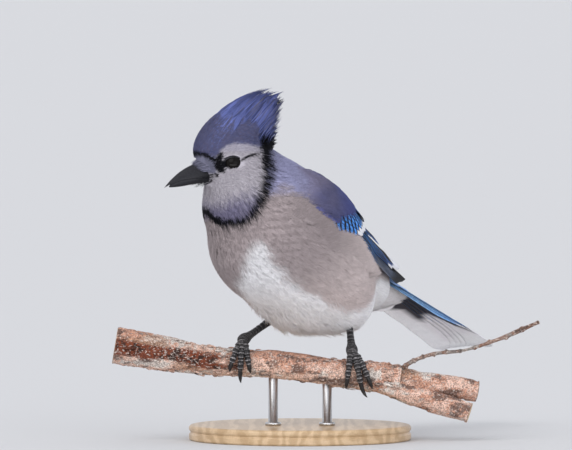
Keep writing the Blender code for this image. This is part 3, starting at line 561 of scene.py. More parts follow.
def plumage_group():
    group, given, made = new_group(
        "plumage_tint",
        [("Colour", "NodeSocketColor", (0.5, 0.5, 0.5, 1)), ("Amount", "NodeSocketFloat", 0.2)],
        [("Colour", "NodeSocketColor"), ("Height", "NodeSocketFloat")],
    )
    do = partial(math_node, group)
    place = object_place(group)
    broad = noise_node(group, place, 260, 2)
    fine = noise_node(group, place, 1500, 3)
    both = do("ADD", do("MULTIPLY", broad, 0.6), do("MULTIPLY", fine, 0.9))
    swing = do("MULTIPLY", do("SUBTRACT", both, 0.75), given["Amount"])
    grey = grey_node(group, do("ADD", swing, 1.0))
    put(group, mix_node(group, 1.0, given["Colour"], grey, "MULTIPLY"), made["Colour"])
    put(group, fine, made["Height"])
    return group


def vane_group():
    """Bars, tip and barbs of a vane. Its map's x is the distance from the shaft and y that from the tip."""
    group, given, made = new_group(
        "vane_pattern",
        [
            ("Colour", "NodeSocketColor", (0.5, 0.5, 0.5, 1)),
            ("Bar Colour", "NodeSocketColor", (0, 0, 0, 1)),
            ("Tip Colour", "NodeSocketColor", (0.8, 0.8, 0.8, 1)),
            ("Bar Gap", "NodeSocketFloat", 3.7),
            ("Bar Width", "NodeSocketFloat", 0.3),
            ("Bar Start", "NodeSocketFloat", 0.0),
            ("Bar Slant", "NodeSocketFloat", 0.35),
            ("Tip Length", "NodeSocketFloat", 0.0),
        ],
        [("Colour", "NodeSocketColor"), ("Height", "NodeSocketFloat")],
    )
    do = partial(math_node, group)
    start, width, tip = given["Bar Start"], given["Bar Width"], given["Tip Length"]
    flat = group.nodes.new("ShaderNodeUVMap")
    flat.uv_map = "Vane"
    split = axes_node(group, flat.outputs[0])
    aside, back = do("MULTIPLY", split[0], 100.0), do("MULTIPLY", split[1], 100.0)
    out = do("ABSOLUTE", aside)
    uneven = do("SUBTRACT", noise_node(group, object_place(group), 900, 2), 0.5)
    ragged = do("MULTIPLY_ADD", uneven, 0.9, back)
    slanted = do("MULTIPLY_ADD", out, given["Bar Slant"], ragged)
    wave = do("FRACT", do("DIVIDE", do("SUBTRACT", slanted, start), given["Bar Gap"]))
    late = mask_node(group, wave, do("SUBTRACT", width, 0.06), width, 1, 0)
    early = mask_node(group, wave, 0.0, 0.08)
    started = mask_node(group, slanted, start, do("ADD", start, 0.4))
    bars = do("MULTIPLY", do("MULTIPLY", late, early), started)
    barred = mix_node(group, bars, given["Colour"], given["Bar Colour"])
    edge = do("ADD", tip, do("MULTIPLY", out, -0.25))
    at_tip = mask_node(group, ragged, do("SUBTRACT", edge, 0.35), do("ADD", edge, 0.35), 1, 0)
    has_tip = do("GREATER_THAN", tip, 0.01)
    tipped = mix_node(group, do("MULTIPLY", at_tip, has_tip), barred, given["Tip Colour"])
    barb = do("MULTIPLY_ADD", out, 1.3, back)
    lines = do("SINE", do("MULTIPLY", barb, 15.0))
    grey = grey_node(group, do("MULTIPLY_ADD", lines, 0.07, 0.95))
    put(group, mix_node(group, 1.0, tipped, grey, "MULTIPLY"), made["Colour"])
    put(group, lines, made["Height"])
    return group


PLUMAGE_TINT, VANE_PATTERN = plumage_group(), vane_group()


def material(name, colour=(0.5, 0.5, 0.5), roughness=0.6, metallic=0.0, coat=0.0, sheen=0.0, specular=0.5):
    """A new material, its node tree and its shader."""
    made = bpy.data.materials.new(name)
    made.use_nodes = True
    shader = made.node_tree.nodes["Principled BSDF"]
    for word, value in (
        ("Base Color", (*colour, 1)),
        ("Roughness", roughness),
        ("Metallic", metallic),
        ("Coat Weight", coat),
        ("Sheen Weight", sheen),
        ("Specular IOR Level", specular),
    ):
        shader.inputs[word].default_value = value
    return made, made.node_tree, shader


def use_bump(tree, shader, height, strength, distance):
    bump = tree.nodes.new("ShaderNodeBump")
    bump.inputs["Strength"].default_value = strength
    bump.inputs["Distance"].default_value = distance
    put(tree, height, bump.inputs["Height"])
    put(tree, bump.outputs[0], shader.inputs["Normal"])


def use_group(tree, group, **values):
    node = tree.nodes.new("ShaderNodeGroup")
    node.node_tree = group
    for word, value in values.items():
        put(tree, value, node.inputs[word.replace("_", " ")])
    return node.outputs


def marked(tree):
    node = tree.nodes.new("ShaderNodeAttribute")
    node.attribute_name = "Markings"
    return node.outputs["Color"]


def plumage_material(name, amount, roughness=0.85, sheen=0.03):
    made, tree, shader = material(name, roughness=roughness, sheen=sheen, specular=0.1)
    tinted = use_group(tree, PLUMAGE_TINT, Colour=marked(tree), Amount=amount)
    put(tree, tinted["Colour"], shader.inputs["Base Color"])
    return made, tree, shader, tinted


def vane_material(name, bar=(0.01, 0.01, 0.013), tip=(0.75, 0.75, 0.79), roughness=0.5, **pattern):
    made, tree, shader, tinted = plumage_material(name, 0.25, roughness, 0.0)
    shader.inputs["Specular IOR Level"].default_value = 0.02
    drawn = use_group(
        tree, VANE_PATTERN, Colour=tinted["Colour"], Bar_Colour=(*bar, 1), Tip_Colour=(*tip, 1), **pattern
    )
    put(tree, drawn["Colour"], shader.inputs["Base Color"])
    use_bump(tree, shader, drawn["Height"], 0.25, 0.0001)
    return made


COAT = plumage_material("plumage", 0.35)[0]
SKIN, skin_tree, skin_shader, skin_tint = plumage_material("skin_under_plumage", 0.5, 0.9, 0.0)
use_bump(skin_tree, skin_shader, skin_tint["Height"], 0.5, 0.0004)
print("materials so far:", [made.name for made in bpy.data.materials])

# %% [markdown]
# A jay's markings: blue crest, white face with a thin line behind the eye, black lores, a black collar
# that runs from the crest's foot round the throat, grey-violet back, warm grey breast and flanks, white
# belly and vent. Each is a soft-edged mask on distances to a few lines drawn on the bird, so the same
# function can colour skin and feathers.

# %% Lines of the markings
# The black collar from the crest's foot to the throat, in the head's frame.
COLLAR = np.array((
    (-17, 3, 19), (-14.5, 6, 12), (-12, 10.6, 8), (-11.5, 14.6, 2.8), (-10.6, 18, -3.4), (-8.4, 20.8, -9.3),
    (-6.6, 22, -14.5), (-4.2, 22.4, -19), (-1.3, 22.1, -23.2), (2.4, 20.4, -27), (7, 17.4, -29),
    (11, 13.6, -29.2), (14.5, 9.8, -28.6), (17.2, 5.8, -25.8), (18.5, 2.5, -23.3), (18.6, 0, -23),
))
# Other dark lines of the face: half the width of each and its points.
FACE_LINES = {
    "eye_line": (0.6, ((3.4, 14.3, 3.8), (2.2, 14.5, 4.6), (-1.6, 14, 6.2), (-6.8, 12.7, 7.3))),
    "lores": (2.3, ((14.6, 10.8, 3.0), (14.9, 10.6, 1.4), (13.4, 11.5, -0.6))),
    "lore_top": (1.5, ((13.4, 11.2, 6.6), (14.6, 10.8, 3.0))),
    "lore_bridge": (2.0, ((14.6, 10.6, 1.8), (10.6, 12.7, 2.0))),
    "gape": (1.1, ((20, 7.5, -5.4), (15.4, 10.2, -4.0))),
    "frontlet": (1.1, (
        (24.4, 0, 7.0), (24.2, 1.4, 7.1), (21.2, 6.9, 6.9),
        (19.4, 8.2, 5.4), (16.9, 9.5, 4.2), (15.2, 10.4, 3.6),
    )),
}
# The blue cap's edge, as forward and up in the head's frame. The three below it are share and degrees.
CAP_EDGE = (
    (30, 7.5), (24.2, 7.6), (19.4, 6.6), (16.1, 5.4), (15, 6.4), (14.1, 8.1), (12.8, 9.4), (10, 11.5),
    (3.5, 12.8), (-2.8, 11.6), (-7.9, 10.8), (-14, 10.4), (-30, 10),
)
WHITE_FROM = (
    (0.41, 134), (0.435, 131), (0.5, 137), (0.56, 141), (0.676, 139), (0.788, 134), (0.849, 124),
    (0.87, 105), (0.894, 81), (1, 75),
)
WHITE_TO = (
    (0.41, 138), (0.454, 153), (0.536, 177), (0.632, 195), (0.748, 210), (0.8, 222), (0.849, 234),
    (0.87, 255), (0.894, 279), (1, 285),
)
LAVENDER_EDGE = (
    (0.2, 120), (0.341, 96), (0.36, 80), (0.375, 76), (0.417, 66), (0.464, 70), (0.6, 74),
    (0.85, 75), (1, 60),
)

FEATHER_COLOURS = {
    "crest": (0.09, 0.096, 0.19),
    "brow": (0.38, 0.36, 0.44),
    "cheek": (0.39, 0.365, 0.405),
    "throat": (0.15, 0.138, 0.215),
    "nostril": (0.15, 0.15, 0.21),
    "black": (0.004, 0.004, 0.006),
    "nape": (0.29, 0.29, 0.45),
    "back": (0.12, 0.118, 0.2),
    "breast": (0.325, 0.275, 0.28),
    "flank": (0.62, 0.53, 0.52),
    "white": (0.95, 0.94, 0.97),
    "rump": (0.2, 0.24, 0.42),
}


def to_line(spots, line):
    """How far spots in the head's frame lie from a line, in millimetres."""
    line = np.array(line)
    nearest = np.full(spots.shape[:-1], 1e9)
    for start, end in zip(line, line[1:]):
        way = end - start
        share = np.clip(((spots - start) @ way) / (way @ way), 0, 1)
        nearest = np.minimum(nearest, np.linalg.norm(spots - start - share[..., None] * way, axis=-1))
    return nearest


EYE_PLACE, EYE_RADIUS = (6.5, 10.5, 1.9), 4.7 * MM


def markings(points, share, around, ragged=0.0):
    """The plumage's colour at points with their numbers on the body's chart; ragged moves the edges."""
    paint = FEATHER_COLOURS
    spots = in_head(points)
    spots[..., 1] = np.abs(spots[..., 1])
    forward, up = spots[..., 0], spots[..., 2]
    angle = np.abs(np.degrees((around + math.pi) % (2 * math.pi) - math.pi))
    wander = noise(points, 5 * MM, 3)
    turned = np.degrees(around) % 360
    # body
    lavender = np.interp(share, *np.transpose(LAVENDER_EDGE)) + 7 * wander + 2.5 * ragged
    top = mix(paint["nape"], paint["back"], ease(0.4, 0.52, share))
    top = mix(top, paint["rump"], ease(0.78, 0.88, share))
    side = mix(paint["breast"], paint["flank"], ease(0.5, 0.78, share))
    torso = mix(side, top, ease(lavender + 9, lavender - 9, angle))
    low = np.interp(share, *np.transpose(WHITE_FROM)) + 3 * wander + 3 * ragged
    high = np.interp(share, *np.transpose(WHITE_TO)) + 3 * wander + 3 * ragged
    white = ease(low - 5, low + 5, turned) * ease(high + 6, high - 6, turned)
    snow = np.array(paint["white"]) * np.interp(share, (0.45, 0.55, 0.66), (0.7, 0.85, 1))[..., None]
    torso = mix(torso, snow, white * ease(0.4, 0.45, share))
    # head
    edge = np.interp(forward, *np.transpose(CAP_EDGE[::-1]))
    low = ease(-9, -21, up + 0.25 * forward + 1.5 * wander + 2 * ragged)
    face = mix(paint["cheek"], paint["throat"], low)
    face = mix(face, paint["brow"], ease(7.5, 9.5, up) * 0.7)
    face = mix(face, paint["nostril"], ease(14.6, 16.2, forward) * ease(-4, -2.5, up))
    face = mix(face, paint["crest"], ease(edge - 0.6, edge + 0.8, up + ragged * 0.6))
    behind = (forward < np.interp(up, COLLAR[9::-1, 2], COLLAR[9::-1, 0])) & (up > -27)
    beneath = (up < np.interp(forward, COLLAR[7:, 0], COLLAR[7:, 2])) & (forward > -4.2)
    past = np.where(behind | beneath, 1.0, 0.0) * ease(0.14, 0.17, share)
    colour = mix(face, torso, np.where(share > 0.37, 1.0, past))
    half = np.interp(up, (-31, -26, -20, -9, -3, 3, 12, 20), (2.0, 2.4, 2.5, 2.9, 3.3, 4.1, 4.0, 3.6))
    black = ease(half + 0.5, half - 0.5, to_line(spots, COLLAR) + 1.2 * ragged)
    for half, line in FACE_LINES.values():
        gap = to_line(spots, line) + 0.6 * ragged
        black = np.maximum(black, ease(half + 0.45, half - 0.35, gap))
    return mix(colour, paint["black"], black)


print("points on the collar:", len(COLLAR), "and dark lines beside it:", list(FACE_LINES))

# %% [markdown]
# Under the feathers lies the skin: one closed surface from the bill to the tail, so that no seam
# between head, neck and body shows. It is a ball whose rings are pulled out to the plumage's chart,
# less the coat's depth, and it carries the same markings, so a gap between feathers never shows a wrong
# colour.

# %% The skin
SKIN_RINGS, SKIN_SEGMENTS = 150, 120


def make_skin():
    shape = bmesh.new()
    bmesh.ops.create_uvsphere(shape, u_segments=SKIN_SEGMENTS, v_segments=SKIN_RINGS, radius=1)
    ball = points_of(shape)
    share = np.clip(np.arccos(np.clip(ball[:, 2], -1, 1)) / math.pi, 0, 1) ** 1.1
    around = np.arctan2(ball[:, 1], ball[:, 0])
    depth = np.interp(share, (0, 0.1, 0.3, 0.5, 1), (0.5, 0.7, 1.2, 1.7, 1.8)) * MM
    points, normals = BODY.at(share, around)
    set_points(shape, points - normals * depth[:, None])
    flat = shape.loops.layers.uv.new("OFBake")
    for face in shape.faces:
        turns = [around[loop.vert.index] / (2 * math.pi) + 0.5 for loop in face.loops]
        seam = max(turns) - min(turns) > 0.5
        for loop, turn in zip(face.loops, turns):
            loop[flat].uv = (turn + (1 if seam and turn < 0.5 else 0), share[loop.vert.index])
    return shape, markings(points, share, around)


def finished(shape, name, finish, slot, *nodes, colours=None):
    """An object from a bmesh, riding on the body and standing for nodes of the solids."""
    mesh = bpy.data.meshes.new(name)
    shape.to_mesh(mesh)
    shape.free()
    mesh.polygons.foreach_set("use_smooth", np.ones(len(mesh.polygons), bool))
    if colours is not None:
        paint_points(mesh, colours)
    mesh.materials.append(finish)
    piece = linked(name, mesh)
    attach(piece, "root")
    if nodes:
        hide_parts(*nodes)
    print(f"{name}: {len(mesh.polygons)} faces")
    return piece


skin_shape, skin_colours = make_skin()
finished(skin_shape, "skin", SKIN, "body_feathers", "head", "neck", "torso", colours=skin_colours)

# %% [markdown]
# A body feather is a small fan of barbs that spring from one root, lie back over the next feathers'
# roots and end ragged. Modelling each barb as a thin closed spike, instead of a card with a picture,
# keeps the soft broken edges from every side. The fan is bent over the chart, so it follows the body,
# and its shading borrows the surface's own direction, which makes thousands of barbs read as one soft
# coat.

# %% Barbs along lines
BARB_WAVE = 0.25 * MM


def barbs_along(lines, normals, width, rings, soft=0.75, thick=0.5):
    """Points and shading directions of barbs. lines and normals are (barbs, rings + 1, 3)."""
    section, share, _, _ = STRANDS[rings]
    ring = np.round(share * rings).astype(int)
    ways = unit(np.gradient(lines, axis=1))
    sides = unit(np.cross(normals, ways))[:, ring]
    ups, centres = normals[:, ring], lines[:, ring]
    size = width[:, None] * np.interp(share, (0, 0.4, 1), (0.75, 1.0, 0.3))
    across = (sides * section[:, 0, None]) * size[..., None]
    over = (ups * section[:, 1, None]) * size[..., None] * thick
    shading = unit(ups * soft + (sides * section[:, 0, None] + ups * section[:, 1, None]) * (1 - soft))
    return centres + across + over, shading, ring


def barb_piece(name, lines, normals, width, rings, colours, homes, finish, soft=0.75, thick=0.5):
    """One mesh of barbs. colours is (barbs, rings + 1, 3) and homes each barb's place on the bake's map."""
    places, shading, ring = barbs_along(lines, normals, width, rings, soft, thick)
    section, share, corners, counts = STRANDS[rings]
    local = np.stack([section[:, 0] * 0.5, share - 0.5], -1) * 0.003
    bake = homes[:, None] + local[None]
    return many(name, corners, counts, places, finish, colours[:, ring], shading, {"OFBake": bake})


def coat_piece(name, lines, normals, width, rings, colours, homes, soft=0.75):
    """One mesh of feathers. lines, normals and colours are (feathers, barbs, points, 3)."""
    count, barbs = lines.shape[:2]
    flat = lambda values: values.reshape(count * barbs, *values.shape[2:])
    width, homes = np.full(count * barbs, width), np.repeat(homes, barbs, axis=0)
    return barb_piece(name, flat(lines), flat(normals), width, rings, flat(colours), homes, COAT, soft)


def feathers_on(chart, a, b, length, spread, depth, barbs, rings, turn, seed, over=0.0):
    """Middle lines of the barbs of feathers rooted at a, b of a chart, with one size for each feather."""
    luck = chance(seed)
    count = len(a)
    fan = np.linspace(-1, 1, barbs)
    mark = np.arange(rings + 1) / rings
    lean = spread[:, None] * fan + luck.normal(0, 0.07, (count, barbs))
    reach = length[:, None] * (1 - 0.25 * fan**2) * luck.uniform(0.82, 1.12, (count, barbs))
    phase = luck.uniform(0, 1, (count, 1, 1)) + luck.normal(0, 0.08, (count, barbs, 1))
    ahead = reach[..., None] * np.cos(lean)[..., None] * mark
    aside = reach[..., None] * np.sin(lean)[..., None] * (mark - 0.25 * mark**2)
    aside = aside + BARB_WAVE * np.sin(2 * math.pi * (mark * 1.3 + phase)) * mark
    cosine, sine = np.cos(turn)[:, None, None], np.sin(turn)[:, None, None]
    unit_a, unit_b = chart.stretch(a, b)
    at_a = a[:, None, None] + (ahead * cosine - aside * sine) / unit_a[:, None, None]
    at_b = b[:, None, None] + (ahead * sine + aside * cosine) / unit_b[:, None, None]
    points, normals = chart.at(at_a, at_b)
    bury = -depth[:, None, None] * (1 - mark) ** 1.4 + np.asarray(over)[..., None, None] * mark
    bury = bury + luck.normal(0, 0.12, (count, barbs, 1)) * MM * mark + 0.15 * MM * np.sin(math.pi * mark)
    lines = points + normals * bury[..., None]
    return lines, normals, at_a, at_b


def spread_roots(chart, a_range, b_range, gap, seed, cells=420):
    """Roots spread evenly by area over a part of a chart; gap(a, b) is the space between two."""
    steps_a = (a_range[1] - a_range[0]) / cells
    steps_b = (b_range[1] - b_range[0]) / cells
    i, j = np.meshgrid(np.arange(cells), np.arange(cells), indexing="ij")
    a = a_range[0] + (i + 0.5) * steps_a
    b = b_range[0] + (j + 0.5) * steps_b
    unit_a, unit_b = chart.stretch(a, b)
    wanted = unit_a * steps_a * unit_b * steps_b / gap(a, b) ** 2
    order = (0.7548776662 * i + 0.5698402910 * j) % 1
    chosen = order < wanted
    luck = chance(seed)
    a, b, space = a[chosen], b[chosen], gap(a, b)[chosen]
    a = a + luck.normal(0, 0.2, len(a)) * space / chart.stretch(a, b)[0]
    b = b + luck.normal(0, 0.2, len(b)) * space / chart.stretch(a, b)[1]
    return a, b


# %% [markdown]
# The folded wing lies on a chart of its own: along from its bend to its tip, across towards the back,
# over the body. Below it, the flank feathers lap over its lower edge, and that edge is read from a
# short list.

# %% A chart of each wing
WING_BEND = (34, 33, 129)
WING_TIPS = {1: (-84, 10, 84), -1: (-84, 15, 84)}
WING_OUTWARD = (-0.1, 0.75, 0.65)
REST_HEIGHTS, REST_AT = (-13 * MM, -0.8 * MM, -3.5 * MM), (15 * MM, 66 * MM, 108 * MM)
LOWER_EDGE = (
    (-6, 3), (0, 0), (5, -4), (10, -7), (16, -10.5), (22, -12), (30, -11.5), (36, -11), (44, -12.5),
    (56, -13.8), (64, -15.5), (80, -15), (95, -12),
)


class WingChart(Chart):
    def __init__(self, side):
        self.side = side
        bend, tip = (bird(f, side * l, u) for f, l, u in (WING_BEND, WING_TIPS[side]))
        outward = bird(WING_OUTWARD[0], side * WING_OUTWARD[1], WING_OUTWARD[2])
        self.origin = bend
        self.way = unit(tip - bend)
        self.outward = unit(outward - self.way * (outward @ self.way))
        self.over = np.cross(self.outward, self.way) * side
        a, b = np.arange(-9, 139, 2) * MM, np.arange(-26, 50, 2) * MM
        grid = np.stack(np.meshgrid(a, b, indexing="ij"), -1)
        plane = self.origin + grid[..., :1] * self.way + grid[..., 1:] * self.over
        height = self.bed(plane.reshape(-1, 3), grid[..., 0]).reshape(len(a), len(b))
        places = plane + height[..., None] * self.outward
        facing = np.cross(np.gradient(places, a, axis=0), np.gradient(places, b, axis=1))
        facing = unit(facing * np.sign(facing @ self.outward)[..., None])
        super().__init__(a, b, places, facing)

    def bed(self, flat, along):
        """How high the body stands under the chart, with a level rest where the wing passes the body."""
        rest = np.interp(along, REST_AT, REST_HEIGHTS)
        height = rest.reshape(-1).copy()
        found = np.zeros(len(flat), bool)
        for level in np.arange(40, -30, -0.5) * MM:
            left = np.flatnonzero(~found)
            new = left[body_distance(flat[left] + self.outward * level) < 0.3 * MM]
            height[new] = level + 0.5 * MM
            found[new] = True
        height = np.maximum(height, rest.reshape(-1)).reshape(along.shape)
        low = height.copy()
        for _ in range(4):
            padded = np.pad(height, 1, mode="edge")
            height = (padded[2:, 1:-1] + padded[:-2, 1:-1] + padded[1:-1, 2:] + padded[1:-1, :-2]) / 4
            height = np.maximum(height, low)
        return height

    def locate(self, points):
        """Along, across (both in mm) and the height over the bed of world points."""
        local = points - self.origin
        along, across = local @ self.way, local @ self.over
        bed = self.read(self.places, along, across)
        return along / MM, across / MM, ((points - bed) @ self.outward) / MM

    def thinned(self, a, b):
        """How much of a feather's height is kept: the wing thins out at its bend and towards the back."""
        front = np.clip((a + 4 * MM) / (18 * MM), 0, 1)
        upper = np.clip((26 * MM - b) / (14 * MM), 0, 1)
        return 0.25 + 0.75 * front * upper


WINGS = {"left": WingChart(1), "right": WingChart(-1)}


def under_wing(points, margin=4.0):
    """True where a wing hides the body for good."""
    hidden = np.zeros(points.shape[:-1], bool)
    for wing in WINGS.values():
        along, across, height = wing.locate(points)
        low = np.interp(along, *np.transpose(LOWER_EDGE)) + margin
        inside = (along > 6 + margin) & (along < 84) & (across > low) & (across < 16 - margin)
        hidden |= inside & (height > -9)
    return hidden


print("wing charts:", {word: wing.places.shape[:2] for word, wing in WINGS.items()})

# %% [markdown]
# The coat grows tract by tract, each with the length, spacing and softness that it has on the bird:
# tiny on the face, short on the neck, long and loose on breast, belly and flanks. Every tract is one
# mesh, small enough to be baked.

# %% The coat's measures
SHARES = (0.0, 0.08, 0.16, 0.3, 0.42, 0.55, 0.7, 0.86, 1.0)
FEATHER_LENGTHS = (1.5, 2.3, 3.2, 5.2, 6.8, 8.5, 9.8, 10.5, 11.5)
FEATHER_GAPS = (0.7, 0.82, 0.98, 1.3, 1.6, 1.9, 2.05, 2.1, 2.1)
BARB_WIDTHS = (0.11, 0.12, 0.13, 0.16, 0.19, 0.21, 0.22, 0.22, 0.22)
COAT_DEPTHS = (0.5, 0.6, 0.8, 1.2, 1.5, 1.7, 1.7, 1.7, 1.7)
EYE_OPENING = (5.6, 3.9)


def by_share(values):
    return lambda share, around=None: np.interp(share, SHARES, values) * MM


def bare(points):
    """True where no feather is rooted: the eyes and the bill's base."""
    forward, left, up = in_head(points).T
    left = np.abs(left)
    ahead, above = (forward - EYE_PLACE[0] - 1.2) / EYE_OPENING[0], (up - EYE_PLACE[2] - 1.1) / EYE_OPENING[1]
    eye = ahead**2 + above**2 < 1
    bill = (forward > 15.5) & (up < 4.5) & (up > -9.5) & (left < 6)
    return (eye & (left > 6)) | bill


def coat_tract(name, a_range, b_range, barbs, rings, seed):
    a, b = spread_roots(BODY, a_range, b_range, by_share(FEATHER_GAPS), seed)
    points, _ = BODY.at(a, b)
    keep = ~(bare(points) | under_wing(points))
    a, b, points = a[keep], b[keep], points[keep]
    luck = chance(seed + 1)
    count = len(a)
    length = by_share(FEATHER_LENGTHS)(a) * luck.uniform(0.85, 1.15, count)
    depth = by_share(COAT_DEPTHS)(a)
    turn = 0.22 * noise(points, 14 * MM, 5) + luck.normal(0, 0.1, count)
    spread = np.full(count, 0.3)
    beneath = ease(125, 165, np.abs(np.degrees(b))) * ease(0.6, 0.7, a)
    off = beneath * luck.uniform(0, 1, count) ** 2 * 3.4 * MM
    lines, normals, at_a, at_b = feathers_on(
        BODY, a, b, length, spread, depth, barbs, rings, turn, seed + 2, over=off
    )
    feather = luck.normal(0, 1, (count, 1, 1))
    barb = luck.normal(0, 1, (count, barbs, 1))
    colours = markings(lines, at_a, at_b, 0.5 * feather + 0.5 * barb)
    mark = np.arange(rings + 1) / rings
    uneven = np.interp(a, (0.1, 0.33, 0.4), (0.13, 0.16, 0.07))[:, None, None]
    # barbs darken towards their roots: partly the feathers' own darker bases, partly painted shade of the
    # coat's depth
    tone = (1 + 0.035 * feather + uneven * barb) * np.interp(mark, (0, 0.4, 1), (0.88, 0.97, 1.03))
    blue = colours[..., 2] > 1.7 * colours[..., 0]
    brown = np.where(luck.uniform(0, 1, (count, barbs, 1)) < 0.2, 0.4, 0.0) * blue
    colours = mix(colours, (0.13, 0.09, 0.1), brown * (a < 0.2)[:, None, None])
    # some barbs of the face, throat and neck darken towards their tips: fine streaks of painted shade between
    # the strands
    dark = np.where(barb > 1.05, 1.0, 0.0) * np.interp(a, (0.1, 0.3, 0.38), (0.7, 0.6, 0.1))[:, None, None]
    tone = tone * (1 - dark * mark)
    width = np.repeat(by_share(BARB_WIDTHS)(a), barbs) * luck.uniform(0.8, 1.25, count * barbs)
    homes = np.stack([b / (2 * math.pi) + 0.5, a], -1)
    return coat_piece(name, lines, normals, width, rings, colours * tone[..., None], homes)


# Each tract: its name and slot, its shares and angles in degrees on the chart, the barbs of a feather
# and a seed.
TRACTS = (
    ("coat_face_left", "head_feathers", (0.012, 0.2), (5, 180), 5, 10),
    ("coat_face_right", "head_feathers", (0.012, 0.2), (-180, 5), 5, 20),
    ("coat_throat_nape", "neck_feathers", (0.2, 0.36), (-180, 180), 6, 30),
    ("coat_collar_breast", "neck_feathers", (0.36, 0.5), (-180, 180), 7, 40),
    ("coat_breast_left", "body_feathers", (0.5, 0.66), (0, 180), 7, 50),
    ("coat_breast_right", "body_feathers", (0.5, 0.66), (-180, 0), 7, 60),
    ("coat_flanks", "body_feathers", (0.66, 0.82), (-180, 180), 7, 70),
    ("coat_rump_vent", "body_feathers", (0.82, 0.985), (-180, 180), 7, 80),
)
COAT_RINGS = 2
for name, slot, shares, degrees, barbs, seed in TRACTS:
    coat_tract(name, shares, np.radians(degrees), barbs, COAT_RINGS, seed)

# %% [markdown]
# A wing or tail feather is a vane: two webs of barbs on a shaft. One thin closed blade is modelled
# once, then bent over the wing's chart for every feather: the lower edge of each rides over the next
# one's upper edge, as tiles do. The blade is nicked a little at its rim, since the barbs of a worn
# feather part there, and a fine shaft lies on it.

# %% Vanes on a chart
def vane_shape(along, root, tip, widest, point):
    """Half the width of a vane at shares of its length, as a share of the greatest."""
    grow = root + (1 - root) * np.sin(np.clip(along / widest, 0, 1) * math.pi / 2)
    drop = np.clip((along - widest) / (1 - widest), 0, 1)
    return np.where(along < widest, grow, tip + (1 - tip) * np.sqrt(np.maximum(0, 1 - drop**point)))


BLADE_SHARE, BLADE_SIDE, BLADE_FACE, BLADE_CORNERS, BLADE_COUNTS = BLADE
BLADE_FACES = np.split(BLADE_CORNERS, np.cumsum(BLADE_COUNTS)[:-1])
BLADE_RIM = np.concatenate([np.full(len(face), len(set(BLADE_FACE[face])) > 1) for face in BLADE_FACES])
SHAFT_GREY, SHAFT_WIDTH, SHAFT_POINTS = (0.035, 0.033, 0.04), 0.32 * MM, 9


def vane_piece(
    name, finish, chart, rows, paint, form, seed, thin=None, camber=0.3, under=None, rise=0.0
):
    """rows: root along and across, tip along and across, width, height, tilt and bow, in millimetres."""
    rows = np.array(rows, float)
    luck = chance(seed)
    root, tip = rows[:, None, 0:2], rows[:, None, 2:4]
    width, off, tilt, bow = (rows[:, k, None] for k in (4, 5, 6, 7))
    course = tip - root
    size = np.linalg.norm(course, axis=-1)
    aside = np.stack([-course[..., 1], course[..., 0]], -1) / size[..., None]

    def place(along, side, lift):
        patch = np.stack([along * 9, 3 * side, size + 0 * along], -1)
        nicks = 1 - 0.1 * np.maximum(0, noise(patch, 1.0, seed))
        half = width / 2 * vane_shape(along, *form) * np.where(np.abs(side) > 0.9, nicks, 1)
        sideways = bow * np.sin(along * math.pi) + side * half
        spot = (root + course * along[..., None] + aside * sideways[..., None]) * MM
        height = off + tilt * side * half + camber * (1 - side * side) + rise * along
        height = height - 1.2 * np.clip(1 - along / 0.15, 0, 1)
        height = height * (thin(spot[..., 0], spot[..., 1]) if thin else 1)
        point, normal = chart.at(spot[..., 0], spot[..., 1])
        return point + normal * (height + lift)[..., None] * MM, half, normal, spot / MM

    along, side = BLADE_SHARE[None] + 0 * size, BLADE_SIDE[None] + 0 * size
    points, half, _, spot = place(along, side, (BLADE_FACE - 0.5) * 0.22)
    from_tip = (1 - along) * size
    luck_each = luck.normal(0, 1, (len(rows), 1))
    colours = paint(along, side, from_tip, np.arange(len(rows))[:, None] / max(1, len(rows) - 1), luck_each)
    below = under(spot) if under else np.array((0.12, 0.115, 0.125)) + 0.3 * colours
    colours = mix(colours, below, 1 - BLADE_FACE)
    flat = np.stack([side * half, from_tip * (BLADE_FACE if under else 1)], -1) * 0.01
    across = int(math.ceil(math.sqrt(len(rows))))
    cell = np.stack([np.arange(len(rows)) % across, np.arange(len(rows)) // across], -1)[:, None]
    upper = np.stack([0.05 + 0.2 * (BLADE_SIDE + 1), 0.05 + 0.9 * BLADE_SHARE], -1)
    lower = np.stack([0.55 + 0.2 * (BLADE_SIDE + 1), 0.05 + 0.9 * BLADE_SHARE], -1)
    both = np.where(BLADE_FACE[:, None] > 0.5, upper, lower)[BLADE_CORNERS]
    corner = np.where(BLADE_RIM[:, None], upper[BLADE_CORNERS], both)
    bake = (cell + corner[None]) / across
    maps = {"Vane": flat, "OFBake": bake}
    piece = many(name, BLADE_CORNERS, BLADE_COUNTS, points, finish, colours, maps=maps)
    mark = np.linspace(0.02, 0.93, SHAFT_POINTS)[None] + 0 * size
    line, _, normals, _ = place(mark, 0 * mark, 0.16)
    shafts = np.tile(SHAFT_GREY, (len(rows), SHAFT_POINTS, 1))
    homes = (cell[:, 0] + 0.95) / across
    width = np.full(len(rows), SHAFT_WIDTH)
    barb_piece(name + "_shafts", line, normals, width, SHAFT_POINTS - 1, shafts, homes, COAT, 0.2)
    return piece


def between(first, last, count, jitter, seed):
    """Rows that change evenly from the first to the last, with their tips a little uneven."""
    share = np.linspace(0, 1, count)[:, None]
    rows = np.array(first, float) * (1 - share) + np.array(last, float) * share
    rows[:, 2] += chance(seed).normal(0, 1, count) * jitter
    return rows


AZURE, COVERT_BLUE, SHOULDER_BLUE = (0.07, 0.24, 0.64), (0.075, 0.09, 0.27), (0.085, 0.09, 0.23)
QUILL_BLACK, EDGE_GREY = (0.008, 0.008, 0.011), (0.22, 0.22, 0.25)


def web_paint(outer, inner, start=-0.1, end=0.35, streak=0.12, rim=0.0):
    """The outer web's colour from the lower edge to the shaft, then the inner's. rim blackens that edge."""

    def paint(along, side, from_tip, number, luck_each):
        colour = mix(outer, inner, ease(start, end, side))
        colour = mix(colour, QUILL_BLACK, rim * ease(-0.86, -0.98, side))
        return colour * (1 + streak * luck_each)[..., None]

    return paint


